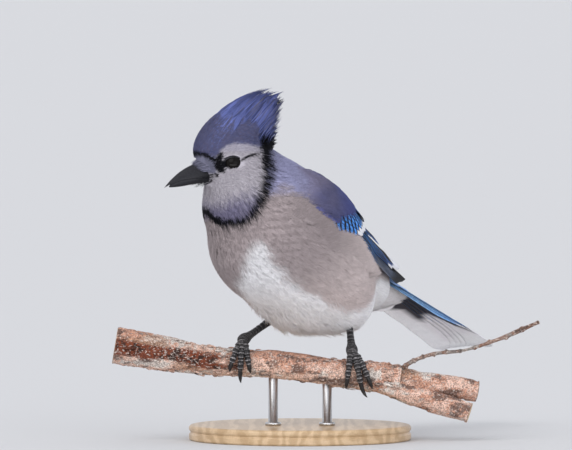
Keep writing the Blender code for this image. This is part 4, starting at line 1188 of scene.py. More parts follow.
def primary_paint(along, side, from_tip, number, luck_each):
    edge = ease(-0.8, -0.98, side) * ease(0.1, 0.16, along) * ease(0.85, 0.68, along)
    colour = mix(QUILL_BLACK, (0.09, 0.27, 0.66), edge)
    return mix(colour, EDGE_GREY, edge * ease(0.4, 0.5, along))


def secondary_paint(along, side, from_tip, number, luck_each):
    edge = ease(-0.86, -0.98, side)
    azure = mix((0.05, 0.12, 0.36), AZURE, ease(0.75, 0.4, along))
    return mix(QUILL_BLACK, azure, edge)


PRIMARY = vane_material("primary_vane", Bar_Gap=4.0, Bar_Width=0.0, Tip_Length=0.0)
SECONDARY = vane_material("secondary_vane", Bar_Gap=4.0, Bar_Width=0.0, Tip_Length=14.0)
TERTIAL = vane_material(
    "tertial_vane", Bar_Gap=3.8, Bar_Width=0.24, Bar_Start=7.0, Bar_Slant=0.4, Tip_Length=4.5
)
GREATER = vane_material(
    "greater_covert_vane", Bar_Gap=4.0, Bar_Width=0.5, Bar_Start=6.0, Bar_Slant=0.6, Tip_Length=6.4
)
PRIMARY_COVERT = vane_material(
    "primary_covert_vane", Bar_Gap=4.0, Bar_Width=0.5, Bar_Start=1.6, Bar_Slant=0.6
)
MEDIAN = vane_material("median_covert_vane", Bar_Gap=5.0, Bar_Width=0.0, roughness=0.7)

AZURE_TO_BLACK = web_paint(AZURE, QUILL_BLACK, 0.0, 0.35, rim=0.9)
COVERT_PAINT = web_paint(COVERT_BLUE, (0.05, 0.055, 0.16))
SHOULDER_PAINT = web_paint(SHOULDER_BLUE, (0.07, 0.07, 0.18), streak=0.06)
TERTIAL_PAINT = web_paint((0.04, 0.13, 0.4), (0.012, 0.016, 0.04), -0.9, -0.6)

# Each tier: its name, finish, paint, first and last row, count, jitter of the tips and the vane's form.
# A row is root along and across, tip along and across, width, height, tilt and bow.
TIERS = (
    (
        "primaries", PRIMARY, primary_paint, (30, -12, 106, -13, 8.5, -0.5, -0.05, -1.5),
        (34, -3, 134, 1, 10, 0.1, -0.05, -1.0), 7, 0.6, (0.4, 0.1, 0.5, 1.8),
    ),
    (
        "secondaries", SECONDARY, secondary_paint, (38, -6, 108, -1, 8, 0.1, -0.07, -1.0),
        (47, 8, 127, 6, 11, 0.9, -0.07, -0.8), 7, 0.8, (0.4, 0.25, 0.75, 2.6),
    ),
    (
        "tertials", TERTIAL, TERTIAL_PAINT, (46, 10, 97, 11, 12, 1.8, -0.08, -0.6),
        (50, 16, 84, 14, 11, 0.5, -0.08, 0), 3, 0.8, (0.4, 0.3, 0.7, 2.6),
    ),
    (
        "primary_coverts", PRIMARY_COVERT, AZURE_TO_BLACK, (15, -8.5, 36, -12, 3.8, 0.5, -0.08, -0.3),
        (18, -7.5, 42, -10.5, 4.2, 0.7, -0.08, -0.3), 3, 0.4, (0.5, 0.3, 0.6, 2.4),
    ),
    (
        "outer_greater_coverts", GREATER, AZURE_TO_BLACK, (19, -6, 46, -9.5, 4.6, 0.8, -0.09, -0.3),
        (29, 4, 60, 2, 6.2, 1.2, -0.09, -0.3), 6, 0.5, (0.5, 0.3, 0.6, 2.6),
    ),
    (
        "inner_greater_coverts", GREATER, AZURE_TO_BLACK, (31, 8, 63, 6, 8, 1.8, -0.09, -0.3),
        (37, 17, 72, 15, 9.5, 1.2, -0.09, 0), 4, 0.5, (0.5, 0.3, 0.6, 2.6),
    ),
    (
        "median_coverts", MEDIAN, COVERT_PAINT, (13, -5, 23, -7.5, 5, 1.2, -0.08, 0),
        (28, 18, 44, 18, 9, 1.9, -0.08, 0), 10, 0.6, (0.6, 0.3, 0.55, 2.2),
    ),
    (
        "lesser_coverts_1", MEDIAN, SHOULDER_PAINT, (10, -4, 18, -6, 5, 1.3, -0.08, 0),
        (20, 18, 33, 18, 8, 2.1, -0.08, 0), 11, 0.7, (0.6, 0.3, 0.5, 2.0),
    ),
    (
        "lesser_coverts_2", MEDIAN, SHOULDER_PAINT, (6, -1.5, 14, -3.5, 5, 1.4, -0.08, 0),
        (15, 18, 27, 18, 7.5, 2.2, -0.08, 0), 11, 0.7, (0.6, 0.3, 0.5, 2.0),
    ),
)

# How far the tips of these stand above their roots, where the folded inner feathers heap up.
TIP_RISE = {"secondaries": 0.9, "tertials": 0.9, "inner_greater_coverts": 1.2}


def make_wing(word):
    wing, seed = WINGS[word], 200 if word == "left" else 300
    for number, (tier, finish, paint, first, last, count, jitter, form) in enumerate(TIERS):
        rows = between(first, last, count, jitter, seed + number)
        rise = TIP_RISE.get(tier, 0.0)
        name = f"wing_{word}_{tier}"
        made = vane_piece(
            name, finish, wing, rows, paint, form, seed + number, wing.thinned, rise=rise
        )
        if number == 0:
            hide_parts(f"wing_{word}")


for word in WINGS:
    make_wing(word)

# %% [markdown]
# The tail is twelve long vanes, folded into a narrow roof: the middle pair lies on top, each next pair
# lower and further out. Seen from above they are azure with thin black bars and white tips; below they
# are grey, and the white of the outer pairs shows. Soft coverts cover both roots.

# %% The tail
TAIL_ROOT = (-46, 0, 86)
TAIL_LENGTH, TAIL_ARCH = 121, 0.0135


class TailChart:
    """Along from the tail's root and left of its middle, both in metres."""

    def at(self, a, b):
        along, left = a / MM, b / MM
        back, down = math.cos(TAIL_DROP), math.sin(TAIL_DROP)
        bend = np.interp(along, (0, 30, 62, 86, 112), (1.0, 2.0, 1.7, 0.9, 0.6))
        plain = np.clip(along / 60, 0, 1)
        bent = np.where(left < -14, 196, left * left)
        lift = TAIL_ARCH * ((bend - plain) * (196 - bent) - plain * left * left)
        lift = lift - 4.2 * np.clip(along / 120, 0, 1.1) ** 7
        point = np.stack(
            [
                TAIL_ROOT[0] - along * back - lift * down,
                TAIL_ROOT[1] + left,
                TAIL_ROOT[2] - along * down + lift * back,
            ],
            -1,
        )
        slope = 2 * TAIL_ARCH * left * np.where(left < -14, plain, bend)
        normal = np.stack([-down + 0 * left, slope, back + 0 * left], -1)
        return point * MM @ BODY_AXES, unit(normal @ BODY_AXES)

    def stretch(self, a, b):
        return np.ones_like(a), np.ones_like(b)


TAIL = TailChart()
RECTRIX = vane_material("rectrix_vane", Bar_Gap=4.4, Bar_Width=0.2, Bar_Start=16.0, Bar_Slant=0.3)
OUTER_RECTRIX = vane_material("outer_rectrix_vane", Bar_Gap=4.4, Bar_Width=0.2, Bar_Start=31.0, Bar_Slant=0.3)
TAIL_FORM = (0.3, 0.3, 0.84, 2.4)


def rectrix_rows(pairs):
    rows = []
    for pair in pairs:
        for side in (1, -1):
            length = TAIL_LENGTH + 3 - (0.12 if side < 0 else 0.3) * pair * pair
            root, tip = side * (0.5 + pair) * 1.25, side * (0.5 + pair) * 2.9
            rows.append((-6, root, length, tip, 13.5, -0.17 * (2 * pair + (side < 0)), 0.05 * side, 0))
    return rows


def rectrix_paint(along, side, from_tip, number, luck_each):
    blue = mix((0.3, 0.55, 0.9), (0.2, 0.4, 0.8), ease(0.4, 0.8, along))
    blue = blue * (1 + 0.05 * luck_each)[..., None]
    blue = mix(blue, (0.6, 0.62, 0.68), ease(30, 24, from_tip + 3 * side))
    return mix(blue, (0.08, 0.13, 0.3), ease(0.75, 0.95, np.abs(side)) * 0.2)


def outer_rectrix_paint(along, side, from_tip, number, luck_each):
    white = ease(27 + 18 * number, 22 + 17 * number, from_tip + 3 * side)
    return mix(rectrix_paint(along, side, from_tip, number, luck_each), (0.8, 0.79, 0.82), white)


def tail_from_below(spot):
    """The folded tail's under face: dark webs near the root, then pale, white at the end and outer edge."""
    along, left = spot[..., 0], spot[..., 1]
    rim = np.interp(left, (-20, -13, -9, -3, 3, 9, 14), (48, 54, 86, 78, 88, 94, 95))
    dark = ease(rim + 2.5, rim - 2.5, along)
    pale = mix((0.88, 0.84, 0.87), (0.98, 0.97, 0.98), ease(104, 114, along + 0.5 * left))
    pale = mix(pale, (0.94, 0.92, 0.94), ease(-12, -14.5, left))
    return mix(pale, (0.055, 0.05, 0.06), dark)


def make_tail():
    for name, finish, pairs, paint, seed in (
        ("tail_middle_feathers", RECTRIX, [0], rectrix_paint, 400),
        ("tail_outer_feathers", OUTER_RECTRIX, range(1, 6), outer_rectrix_paint, 401),
    ):
        made = vane_piece(
            name, finish, TAIL, rectrix_rows(pairs), paint, TAIL_FORM, seed, camber=0.1,
            under=tail_from_below,
        )
        if name == "tail_middle_feathers":
            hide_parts("tail")


make_tail()


TUFT_BARBS = 9


def covert_tufts(name, seed, count, along, spread, depth_at, length, colour, way):
    """Loose feathers over (way 1) or under (way -1) the tail's root, in a mass as deep as depth_at says."""
    luck = chance(seed)
    a = luck.uniform(*along, count) * MM
    b = luck.uniform(-1, 1, count) * np.interp(a / MM, along, spread) * MM
    size = np.interp(a / MM, along, length) * MM * luck.uniform(0.85, 1.1, count)
    lean = luck.normal(0, 0.08, count) - 0.012 * b / MM
    none = np.zeros(count)
    spreads = np.full(count, 0.16)
    lines, normals, at_a, at_b = feathers_on(TAIL, a, b, size, spreads, none, TUFT_BARBS, 4, lean, seed)
    layer = luck.uniform(0.35 if way > 0 else 0.75, 1.04, (count, 1, 1))
    wide = np.interp(at_a / MM, (along[0], along[1] + length[1]), (spread[0] + 3, 3))
    arched = np.sqrt(np.clip(1 - (at_b / MM / wide) ** 2, 0.02, 1))
    height = np.interp(at_a / MM, *np.transpose(depth_at)) * layer * arched
    lines = lines + normals * (height * way)[..., None] * MM
    leftward = np.array([0, 1.0, 0]) @ BODY_AXES
    normals = unit(normals * (way * arched)[..., None] + leftward * (0.9 * at_b / MM / wide)[..., None])
    # barbs darken towards their roots: partly the feathers' own darker bases, partly painted shade inside the
    # mass
    base_tone_and_shade = np.interp(np.arange(5) / 4, (0, 0.5, 1), (0.9, 0.98, 1.04))
    tone = (1 + 0.05 * luck.normal(0, 1, (count, TUFT_BARBS, 1))) * base_tone_and_shade
    colours = np.array(colour) * tone[..., None]
    homes = np.stack([b / (60 * MM) + 0.5, a / (100 * MM)], -1)
    return coat_piece(name, lines, normals, 0.22 * MM, 3, colours, homes)


UPPER_DEPTH = ((0, 3.0), (25, 2.6), (48, 1.0))
UNDER_DEPTH = ((-4, 18), (8, 20.5), (24, 18.5), (36, 14), (46, 8), (54, 4), (62, 1.5))
covert_tufts("tail_upper_coverts", 410, 420, (-6, 34), (13, 11), UPPER_DEPTH, (13, 14), (0.3, 0.46, 0.8), 1)
# the under-tail coverts' white is greyer than the belly's: painted shade below the tail
covert_tufts("tail_under_coverts", 420, 800, (-2, 42), (12.5, 8), UNDER_DEPTH, (13, 14), (0.8, 0.78, 0.8), -1)


def make_under_mound():
    """The solid white mass under the soft feathers below the tail's root, bent on to the tail's chart."""
    shape = bmesh.new()
    bmesh.ops.create_uvsphere(shape, u_segments=48, v_segments=32, radius=1)
    x, y, z = np.array([vertex.co for vertex in shape.verts]).T
    points, normals = TAIL.at((8 + 42 * x) * MM, (14 * y - 4) * MM)
    height = 17.5 * np.minimum(z, 0) - 2.2
    for vertex, place in zip(shape.verts, points + normals * height[:, None] * MM):
        vertex.co = place
    bmesh.ops.recalc_face_normals(shape, faces=shape.faces)
    # greyer than the belly's white: painted shade below the tail
    colours = np.tile((0.78, 0.76, 0.78), (len(x), 1))
    finished(shape, "tail_under_mound", COAT, "tail_feathers", colours=colours)


make_under_mound()

# %% [markdown]
# Where coat and wing meet, neither ends in a line. Loose breast and flank feathers lap over the wing's
# bend and lower edge, and soft shoulder feathers fall over its upper part. They grow on the wing's own
# chart, so that they lie on the coverts, and their tips stay ragged.

# %% Feathers over the wing's edges
LAP_BARBS, LAP_SPREAD = 7, 0.28


def lapping_tufts(name, word, seed, a, b, length, turn, heights, colour_of, wide):
    """Tufts on a wing's chart, in millimetres: heights are those of root and tip over the bed."""
    wing, luck, count = WINGS[word], chance(seed), len(a)
    a, b, length = a * MM, b * MM, length * MM * luck.uniform(0.85, 1.15, count)
    turn = turn + luck.normal(0, 0.1, count)
    spreads, none = np.full(count, LAP_SPREAD), np.zeros(count)
    lines, normals, at_a, at_b = feathers_on(wing, a, b, length, spreads, none, LAP_BARBS, 3, turn, seed)
    mark = np.arange(4) / 3
    low, high = heights
    thin = wing.thinned(at_a, at_b)
    low, high = low[:, None, None] * (1 - mark), high[:, None, None] * np.sin(mark * math.pi / 2)
    rise = np.where(low > 0, low * thin, low) + high * thin
    lines = lines + normals * rise[..., None] * MM
    feather, barb = luck.normal(0, 1, (count, 1, 1)), luck.normal(0, 1, (count, LAP_BARBS, 1))
    # barbs darken towards their roots: partly the feathers' own darker bases, partly painted shade where
    # tufts overlap
    tone = (1 + 0.04 * feather + 0.07 * barb) * np.interp(mark, (0, 0.4, 1), (0.9, 0.98, 1.03))
    colours = colour_of(lines, at_a / MM, at_b / MM, 0.5 * feather + 0.5 * barb) * tone[..., None]
    homes = np.stack([b / (120 * MM) + 0.5, a / (160 * MM) + 0.2], -1)
    return coat_piece(name, lines, normals, wide * MM, 3, colours, homes)


def flank_colour(points, along, across, ragged):
    warm = mix(FEATHER_COLOURS["breast"], FEATHER_COLOURS["flank"], ease(10, 60, along))
    violet = ease(3.5, 6.5, across + 1.2 * ragged)
    return mix(warm, FEATHER_COLOURS["nape"], violet)


def shoulder_colour(points, along, across, ragged):
    brown = 0.5 + 0.5 * noise(points, 9 * MM, 8)
    base = mix((0.075, 0.08, 0.18), (0.115, 0.105, 0.165), brown * ease(34, 4, along))
    base = mix(base, (0.065, 0.075, 0.22), ease(18, 36, along))
    dusk = mix((0.15, 0.145, 0.25), (0.19, 0.165, 0.22), brown)
    violet = mix(FEATHER_COLOURS["nape"], dusk, ease(-7, 9, along))
    front = along - 1.5 * (across - 5) + 2.5 * ragged
    return mix(base, violet, ease(17, 1, front))


SHOULDER_EDGE = ((-6, 9), (-2, 6), (2, 0.5), (6, -4), (20, -7))
FLANK_TUFTS, FRONT_TUFTS, SHOULDER_TUFTS = 900, 340, 900


def make_lapping(word, seed):
    luck = chance(seed)
    a = luck.uniform(-6, 60, FLANK_TUFTS)
    back = 2.4 + 8.1 * luck.uniform(0, 1, FLANK_TUFTS) ** 1.3
    b = np.interp(a, *np.transpose(LOWER_EDGE)) - back - 1.6 * ease(36, 50, a)
    turn = np.interp(a, (-5, 8, 40, 84), (0.45, 0.28, 0.1, 0.06)) + 0.03 * back
    high = np.interp(back, (1.8, 5, 10.5), (2.2, 2.0, -0.2)) * np.interp(a, (0, 38, 60), (1, 0.9, 0.0))
    size = np.interp(a, (30, 60), (8.5, 6))
    heights = (-2.6 - 0.3 * back, high)
    lapping_tufts(f"flank_over_wing_{word}", word, seed, a, b, size, turn, heights, flank_colour, wide=0.17)
    # the bend of the wing, covered from the front
    b = luck.uniform(-6, 22, FRONT_TUFTS)
    ahead = luck.uniform(-4, 3.5, FRONT_TUFTS)
    a = np.maximum(np.interp(b, *np.transpose(SHOULDER_EDGE)) - ahead, -7.5)
    size, turn = np.full(FRONT_TUFTS, 8.0), np.full(FRONT_TUFTS, -0.15)
    heights = (-3.4 - 0.3 * ahead, np.interp(ahead, (-4, 3.5), (2.0, 0.2)))
    lapping_tufts(
        f"shoulder_front_{word}", word, seed + 5, a, b, size, turn, heights, flank_colour, wide=0.17
    )
    # the shoulder feathers over the wing's upper part
    a = luck.uniform(-6, 35, SHOULDER_TUFTS)
    rim = np.interp(a, (-6, 0, 5, 12, 20, 28, 35), (7, 3, -1.5, -4.8, -3.8, -1.5, 2))
    b = rim + luck.uniform(0, 1, SHOULDER_TUFTS) * np.interp(a, (-4, 10, 35), (14.5, 23.5, 18))
    b = b + luck.normal(0, 1.2, SHOULDER_TUFTS)
    turn = np.interp(b, (4, 24), (-0.12, -0.3))
    high = np.interp(b, (-5, 0, 8, 20), (2.6, 2.8, 3.0, 2.2)) * (0.45 + 0.55 * ease(-6, 12, a))
    low = (high - 1.3) * ease(-6, 6, a) - 2.5 * ease(4, -6, a)
    size = np.interp(a, (12, 35), (11, 8.5))
    lapping_tufts(
        f"scapulars_{word}", word, seed + 9, a, b, size, turn, (low, high), shoulder_colour, wide=0.18
    )


make_lapping("left", 500)
make_lapping("right", 540)

# %% [markdown]
# The crest is raised halfway. Its feathers grow in rows from the forehead to the nape, each a slim lock
# of barbs that sweeps back and up, and the hindmost ones form the ragged peak. Rows between a few given
# ones are blended, so the crest is dense without a list of every feather.

# %% The crest
CREST_ROWS = (
    ((21, 11), (10, 26.5), 6.5, 5.5, 0.07),
    ((16, 18), (2, 33), 7.5, 5.0, 0.08),
    ((9, 22.5), (-8, 38.5), 6.5, 4.0, 0.08),
    ((2, 24), (-18, 41.5), 5.0, 2.4, 0.07),
    ((-4, 22), (-25, 38.5), 4.5, 2.6, 0.03),
    ((-8, 18), (-24.5, 32), 4.5, 3.2, 0.0),
    ((-10, 14.5), (-22.5, 24.5), 5.0, 4.2, -0.02),
    ((-9.5, 13), (-21.5, 17), 5.0, 4.5, -0.03),
    ((-9, 11), (-20, 10), 5.0, 4.8, -0.02),
)
CREST_BED = head(4, 0, 12)


def on_crown(forward, left, up, off):
    way = unit(np.stack([forward, left, up], -1) @ HEAD_AXES * MM + HEAD_CENTRE - CREST_BED)
    points = surface_along(np.tile(CREST_BED, (len(way), 1)), way, body_distance)
    return points + way * off * MM, way


def crest_row(level):
    i = min(int(level), len(CREST_ROWS) - 2)
    t = level - i
    near, far = CREST_ROWS[i], CREST_ROWS[i + 1]
    return [np.array(x) * (1 - t) + np.array(y) * t for x, y in zip(near, far)]


def make_crest(name, rows, per_row, barbs, seed, wide):
    luck = chance(seed)
    roots, tips, bows = [], [], []
    for row in range(rows):
        root, tip, at_root, at_tip, bow = crest_row(row / (rows - 1) * (len(CREST_ROWS) - 1))
        for number in range(per_row):
            side = np.clip(2 * (number + 0.5 * (row % 2)) / (per_row - 0.5) - 1, -1, 1) + luck.normal(0, 0.04)
            drop = 5.5 * side * side * (1 - 0.65 * ease(0.6, 1.0, row / (rows - 1)))
            roots.append((root[0] - 1.5 * side * side, at_root * 1.12 * side, root[1] - drop))
            short = luck.uniform(0, 1) ** 2 * 0.28
            end = np.array((tip[0] + 2.2 * abs(side), at_tip * side, tip[1] - 0.75 * drop))
            tips.append(end * (1 - short) + np.array(roots[-1]) * short + luck.normal(0, 0.5, 3))
            bows.append(bow)
    count = len(roots)
    start, out = on_crown(*np.transpose(roots), -1.0)
    end = np.array(tips) * MM @ HEAD_AXES + HEAD_CENTRE
    way = end - start
    size = np.linalg.norm(way, axis=-1, keepdims=True)
    out = unit(out - way * ((out * way).sum(-1, keepdims=True) / size**2))
    aside = unit(np.cross(out, way))
    mark = np.arange(6) / 5
    fan = np.linspace(-1, 1, barbs)
    form = np.interp(mark, (0, 0.35, 0.7, 1), (0.55, 1, 0.8, 0.12))
    reach = 1 - 0.16 * fan**2 + luck.normal(0, 0.05, (count, barbs))
    along = reach[..., None] * mark
    bow = np.array(bows)[:, None, None] * size[:, None] * np.sin(np.pi * mark)
    scatter = luck.normal(0, 0.16, (count, barbs, 1)) * MM * mark
    spread = wide * MM * fan[None, :, None] * form + luck.normal(0, 0.12, (count, barbs, 1)) * MM * mark
    round_off = -0.6 * MM * fan[None, :, None] ** 2 * np.sin(np.pi * mark)
    lines = start[:, None, None] + way[:, None, None] * along[..., None]
    lines = lines + out[:, None, None] * (bow + scatter + round_off)[..., None]
    lines = lines + aside[:, None, None] * spread[..., None]
    normals = unit(out[:, None, None] + aside[:, None, None] * (0.35 * fan[None, :, None, None]) + 0 * lines)
    feather, barb = luck.normal(0, 1, (count, 1, 1)), luck.uniform(0, 1, (count, barbs, 1))
    spots = in_head(lines)
    height = spots[..., 2] - 0.4 * spots[..., 0]
    violet = mix((0.135, 0.165, 0.41), (0.075, 0.09, 0.235), ease(8, 40, height))
    # the barbs' tone: darker or paler at random, dark at the tips, and darker at the roots, partly the
    # feathers' own bases and partly painted shade
    tone_and_root_shade = (1 + 0.14 * feather) * np.where(barb > 0.78, 0.5, np.where(barb < 0.14, 1.45, 1.0))
    tone_and_root_shade = tone_and_root_shade * np.interp(mark, (0, 0.5, 0.8, 1), (0.75, 1.0, 0.85, 0.4))
    grey = np.where(barb > 0.86, 0.75, 0.0) * ease(0.2, 0.5, mark)
    colours = mix(violet * tone_and_root_shade[..., None], (0.13, 0.12, 0.155), grey)
    low = ease(19, 14.5, spots[..., 2] + 1.5 * luck.normal(0, 1, (count, barbs, 1)))
    nape = low * ease(-8, -10.5, spots[..., 0])
    colours = mix(colours, FEATHER_COLOURS["black"], nape)
    forward, left, _ = np.transpose(roots)
    homes = np.stack([left * 0.01 + 0.5, forward * 0.008 + 0.3], -1)
    return coat_piece(name, lines, normals, 0.2 * MM, 5, colours, homes, 0.6)


make_crest("crest", 30, 9, 13, 600, 2.2)

# %% [markdown]
# The eye is a nearly black ball under a clear wet layer. Bare lids ring it: they are a thin bead, spun
# round and pressed to an oval.

# %% Eyes and lids
EYE_OUT = {1: unit(np.array([0.12, 1, 0.03]) @ HEAD_AXES), -1: unit(np.array([0.12, -1, 0.03]) @ HEAD_AXES)}


def eye_material():
    made, tree, shader = material("eye_wet", (0.006, 0.004, 0.003), 0.1, coat=0.12, specular=0.05)
    shader.inputs["Coat Roughness"].default_value = 0.02
    iris = noise_node(tree, object_place(tree), 2600, 4)
    colour = mix_node(tree, iris, (0.002, 0.0015, 0.0015, 1), (0.006, 0.0045, 0.004, 1))
    put(tree, colour, shader.inputs["Base Color"])
    return made


def turned_to(direction, centre):
    return Matrix.Translation(Vector(centre)) @ Vector(direction).to_track_quat("Z", "Y").to_matrix().to_4x4()


# Half widths and heights of the lids' opening and outer edge, and the radius of the ball that they lie on.
LID_OPENING, LID_RIM, LID_BALL = (4.8, 3.3), (6.9, 4.6), 4.82


def make_eye(side, word):
    centre = head(EYE_PLACE[0], side * EYE_PLACE[1], EYE_PLACE[2])
    shape = bmesh.new()
    bmesh.ops.create_uvsphere(shape, u_segments=40, v_segments=24, radius=EYE_RADIUS)
    bmesh.ops.transform(shape, matrix=turned_to(EYE_OUT[side], centre), verts=shape.verts)
    finished(shape, f"eyeball_{word}", EYE_WET, "eye", f"eye_{word}")
    ring = bmesh.new()
    bmesh.ops.create_circle(ring, cap_ends=False, segments=12, radius=1)
    bmesh.ops.rotate(ring, matrix=Matrix.Rotation(math.pi / 2, 3, "X"), verts=ring.verts)
    bmesh.ops.translate(ring, vec=(5, 0, 0), verts=ring.verts)
    bmesh.ops.spin(ring, geom=ring.edges[:], angle=2 * math.pi, steps=56, axis=(0, 0, 1), use_merge=True)
    bmesh.ops.remove_doubles(ring, verts=ring.verts, dist=1e-4)
    for vertex in ring.verts:
        x, y, z = vertex.co
        turn, away = math.atan2(y, x), math.hypot(x, y) - 5
        share = 0.5 + 0.5 * away
        inner = np.array((LID_OPENING[0] * math.cos(turn), LID_OPENING[1] * math.sin(turn)))
        outer = np.array((LID_RIM[0] * math.cos(turn), LID_RIM[1] * math.sin(turn)))
        on_ball = math.sqrt(max(0.2, LID_BALL**2 - inner @ inner))
        flat = inner * (1 - share) + outer * share
        rise = on_ball * (1 - share) + 0.9 * share + 0.32 * z * (1 - 0.3 * share)
        vertex.co = (flat[0] * MM, flat[1] * MM, rise * MM)
    bmesh.ops.transform(ring, matrix=turned_to(EYE_OUT[side], centre), verts=ring.verts)
    ring.normal_update()
    bmesh.ops.recalc_face_normals(ring, faces=ring.faces)
    finished(ring, f"eyelids_{word}", LID, "head_feathers")


EYE_WET = eye_material()
LID, lid_tree, lid_shader = material("lid_skin", (0.02, 0.02, 0.022), 0.6, specular=0.15)
lid_grain = noise_node(lid_tree, object_place(lid_tree), 3000, 2)
lid_colour = mix_node(lid_tree, lid_grain, (0.008, 0.008, 0.01, 1), (0.035, 0.035, 0.04, 1))
put(lid_tree, lid_colour, lid_shader.inputs["Base Color"])
use_bump(lid_tree, lid_shader, lid_grain, 0.5, 0.0001)
for side, word in ((1, "left"), (-1, "right")):
    make_eye(side, word)

# %% [markdown]
# The bill is two horn sheaths. Each is lofted through D-shaped sections, flat where they meet, from a
# cylinder whose rings are pulled to the sections, so that the ridge, the cutting edge and the droop of
# the tip come out smooth.

# %% The bill
BILL_SECTIONS = (
    (15.2, 2.6, -4.9, -7.9, 4.9),
    (20.0, 2.7, -5.3, -8.2, 4.4),
    (26.0, 1.0, -5.7, -9.0, 3.5),
    (31.5, -2.0, -6.6, -9.9, 2.5),
    (36.3, -5.9, -8.3, -10.3, 1.4),
    (39.2, -9.0, -9.9, -10.6, 0.7),
    (40.4, -10.5, -10.7, -10.9, 0.15),
)
MOUTH_GAP = 0.36


def smooth_line(points, count):
    """Points of a smooth curve through the given rows."""
    points = np.array(points, float)
    padded = np.vstack([2 * points[0] - points[1], points, 2 * points[-1] - points[-2]])
    line = []
    for at in np.linspace(0, len(points) - 1, count):
        i = min(int(at), len(points) - 2)
        t = at - i
        a, b, c, d = padded[i : i + 4]
        cubic = (3 * b - a - 3 * c + d) * t**3
        line.append(0.5 * (2 * b + (c - a) * t + (2 * a - 5 * b + 4 * c - d) * t * t + cubic))
    return np.array(line)


def rings_of(segments, cuts):
    """A closed cylinder along z from 0 to 1 with many rings; angle and share of every point come with it."""
    shape = bmesh.new()
    bmesh.ops.create_cone(shape, cap_ends=True, segments=segments, radius1=1, radius2=1, depth=1)
    bmesh.ops.translate(shape, vec=(0, 0, 0.5), verts=shape.verts)
    upright = [e for e in shape.edges if abs(e.verts[0].co.z - e.verts[1].co.z) > 0.5]
    bmesh.ops.subdivide_edges(shape, edges=upright, cuts=cuts, use_grid_fill=True)
    places = points_of(shape)
    return shape, np.arctan2(places[:, 1], places[:, 0]), np.round(places[:, 2] * (cuts + 1)) / (cuts + 1)


def make_mandible(name, node, upper):
    sections = np.array(BILL_SECTIONS if upper else BILL_SECTIONS[:5] + ((37.8, -9.3, -9.6, -10.2, 0.2),))
    line = smooth_line(sections, 40)
    shape, angle, share = rings_of(48, 38)
    forward, top, mouth, bottom, half = rows_at(share, np.linspace(0, 1, len(line)), line).T
    edge = mouth + (MOUTH_GAP / 2 if upper else -MOUTH_GAP / 2)
    reach = (top if upper else bottom) - edge
    turn = np.where(angle > 0, angle, 0.0)
    bulge = np.sin(np.clip(turn, 0, math.pi)) ** (0.85 if upper else 0.7)
    side = np.where(angle > 0, np.cos(angle) * (1 - 0.12 * np.sin(2 * np.abs(angle)) ** 2), np.cos(angle))
    rise = np.where(angle > 0, reach * bulge, 0.12 * reach * np.sin(angle))
    side = side * (1.0 if upper else 0.9)
    points = np.stack([forward, half * side, edge + rise], -1) * MM @ HEAD_AXES + HEAD_CENTRE
    finished(set_points(shape, points), name, HORN, "bill", node)


HORN, horn_tree, horn_shader = material("bill_horn", (0.01, 0.01, 0.012), 0.42, specular=0.14)
horn_place = object_place(horn_tree)
horn_fine = noise_node(horn_tree, horn_place, 1200, 4)
horn_colour = mix_node(horn_tree, horn_fine, (0.006, 0.006, 0.008, 1), (0.03, 0.03, 0.036, 1))
put(horn_tree, horn_colour, horn_shader.inputs["Base Color"])
put(horn_tree, mask_node(horn_tree, horn_fine, 0.2, 0.8, 0.3, 0.5), horn_shader.inputs["Roughness"])
use_bump(horn_tree, horn_shader, noise_node(horn_tree, horn_place, 500, 5), 0.35, 0.0003)
make_mandible("upper_mandible", "bill_upper", True)
make_mandible("lower_mandible", "bill_lower", False)

# %% [markdown]
# Stiff bristles lie forward over the nostrils, and a few black ones hang from the corners of the mouth.
# They are single barbs, bent along the bill.

# %% Bristles of the face
def bristles(name, seed, count, root_of, tip_of, colour, width):
    luck = chance(seed)
    side = np.where(luck.uniform(0, 1, count) < 0.5, 1, -1)
    u, v = luck.uniform(0, 1, count), luck.uniform(0, 1, count)
    mirror = np.stack([np.ones(count), side, np.ones(count)], -1)
    roots = np.stack(root_of(u, v), -1) * mirror
    tips = np.stack(tip_of(u, v), -1) * mirror + luck.normal(0, 0.35, (count, 3))
    out = unit(np.stack([0.2 + 0 * u, side * (0.4 + 0.6 * v), 0.9 - 0.9 * v], -1) @ HEAD_AXES)
    start, end = (x * MM @ HEAD_AXES + HEAD_CENTRE for x in (roots, tips))
    mark = np.arange(6) / 5
    bow = 0.05 * np.linalg.norm(end - start, axis=-1)[:, None, None] * np.sin(math.pi * mark)[None, :, None]
    lines = start[:, None] + (end - start)[:, None] * mark[None, :, None] + out[:, None] * bow
    tone = luck.uniform(0.3, 1.6, (count, 1, 1)) * np.interp(mark, (0, 1), (0.8, 1.1))[None, :, None]
    homes = np.stack([0.5 + 0.02 * side * v, 0.01 + 0.02 * u], -1)
    normals, width = np.repeat(out[:, None], 6, axis=1), np.full(count, width * MM)
    colours = np.array(colour) * tone
    return barb_piece(name, lines, normals, width, 5, colours, homes, COAT, 0.4, 0.8)


bristles(
    "nostril_bristles", 700, 700,
    lambda u, v: (20.4 - 5.6 * v, 0.4 + 7.8 * np.sqrt(v), 4.7 - 4.8 * v - 1.5 * v * v),
    lambda u, v: (24.6 + 1.4 * u - 4.0 * v, 0.3 + 4.4 * v, 1.7 - 3.6 * v),
    (0.15, 0.15, 0.21), 0.13,
)
bristles(
    "mouth_bristles", 710, 90,
    lambda u, v: (15.8 + 1.5 * u, 8.6 - 2.0 * v, -3.2 - 4.4 * v),
    lambda u, v: (21.5 + 4.5 * u, 6.8 - 0.8 * v, -6.0 - 4.6 * v),
    (0.012, 0.012, 0.015), 0.08,
)

# %% [markdown]
# The perch is a cut length of dead branch with a fork and a side twig. Each length is a cylinder with
# many rings, drawn along its line; smooth noise, stretched along the wood, raises the plates of bark
# and opens cracks between them. Where plates have fallen, the smoother orange and grey wood shows, and
# its two colours are kept on the mesh.

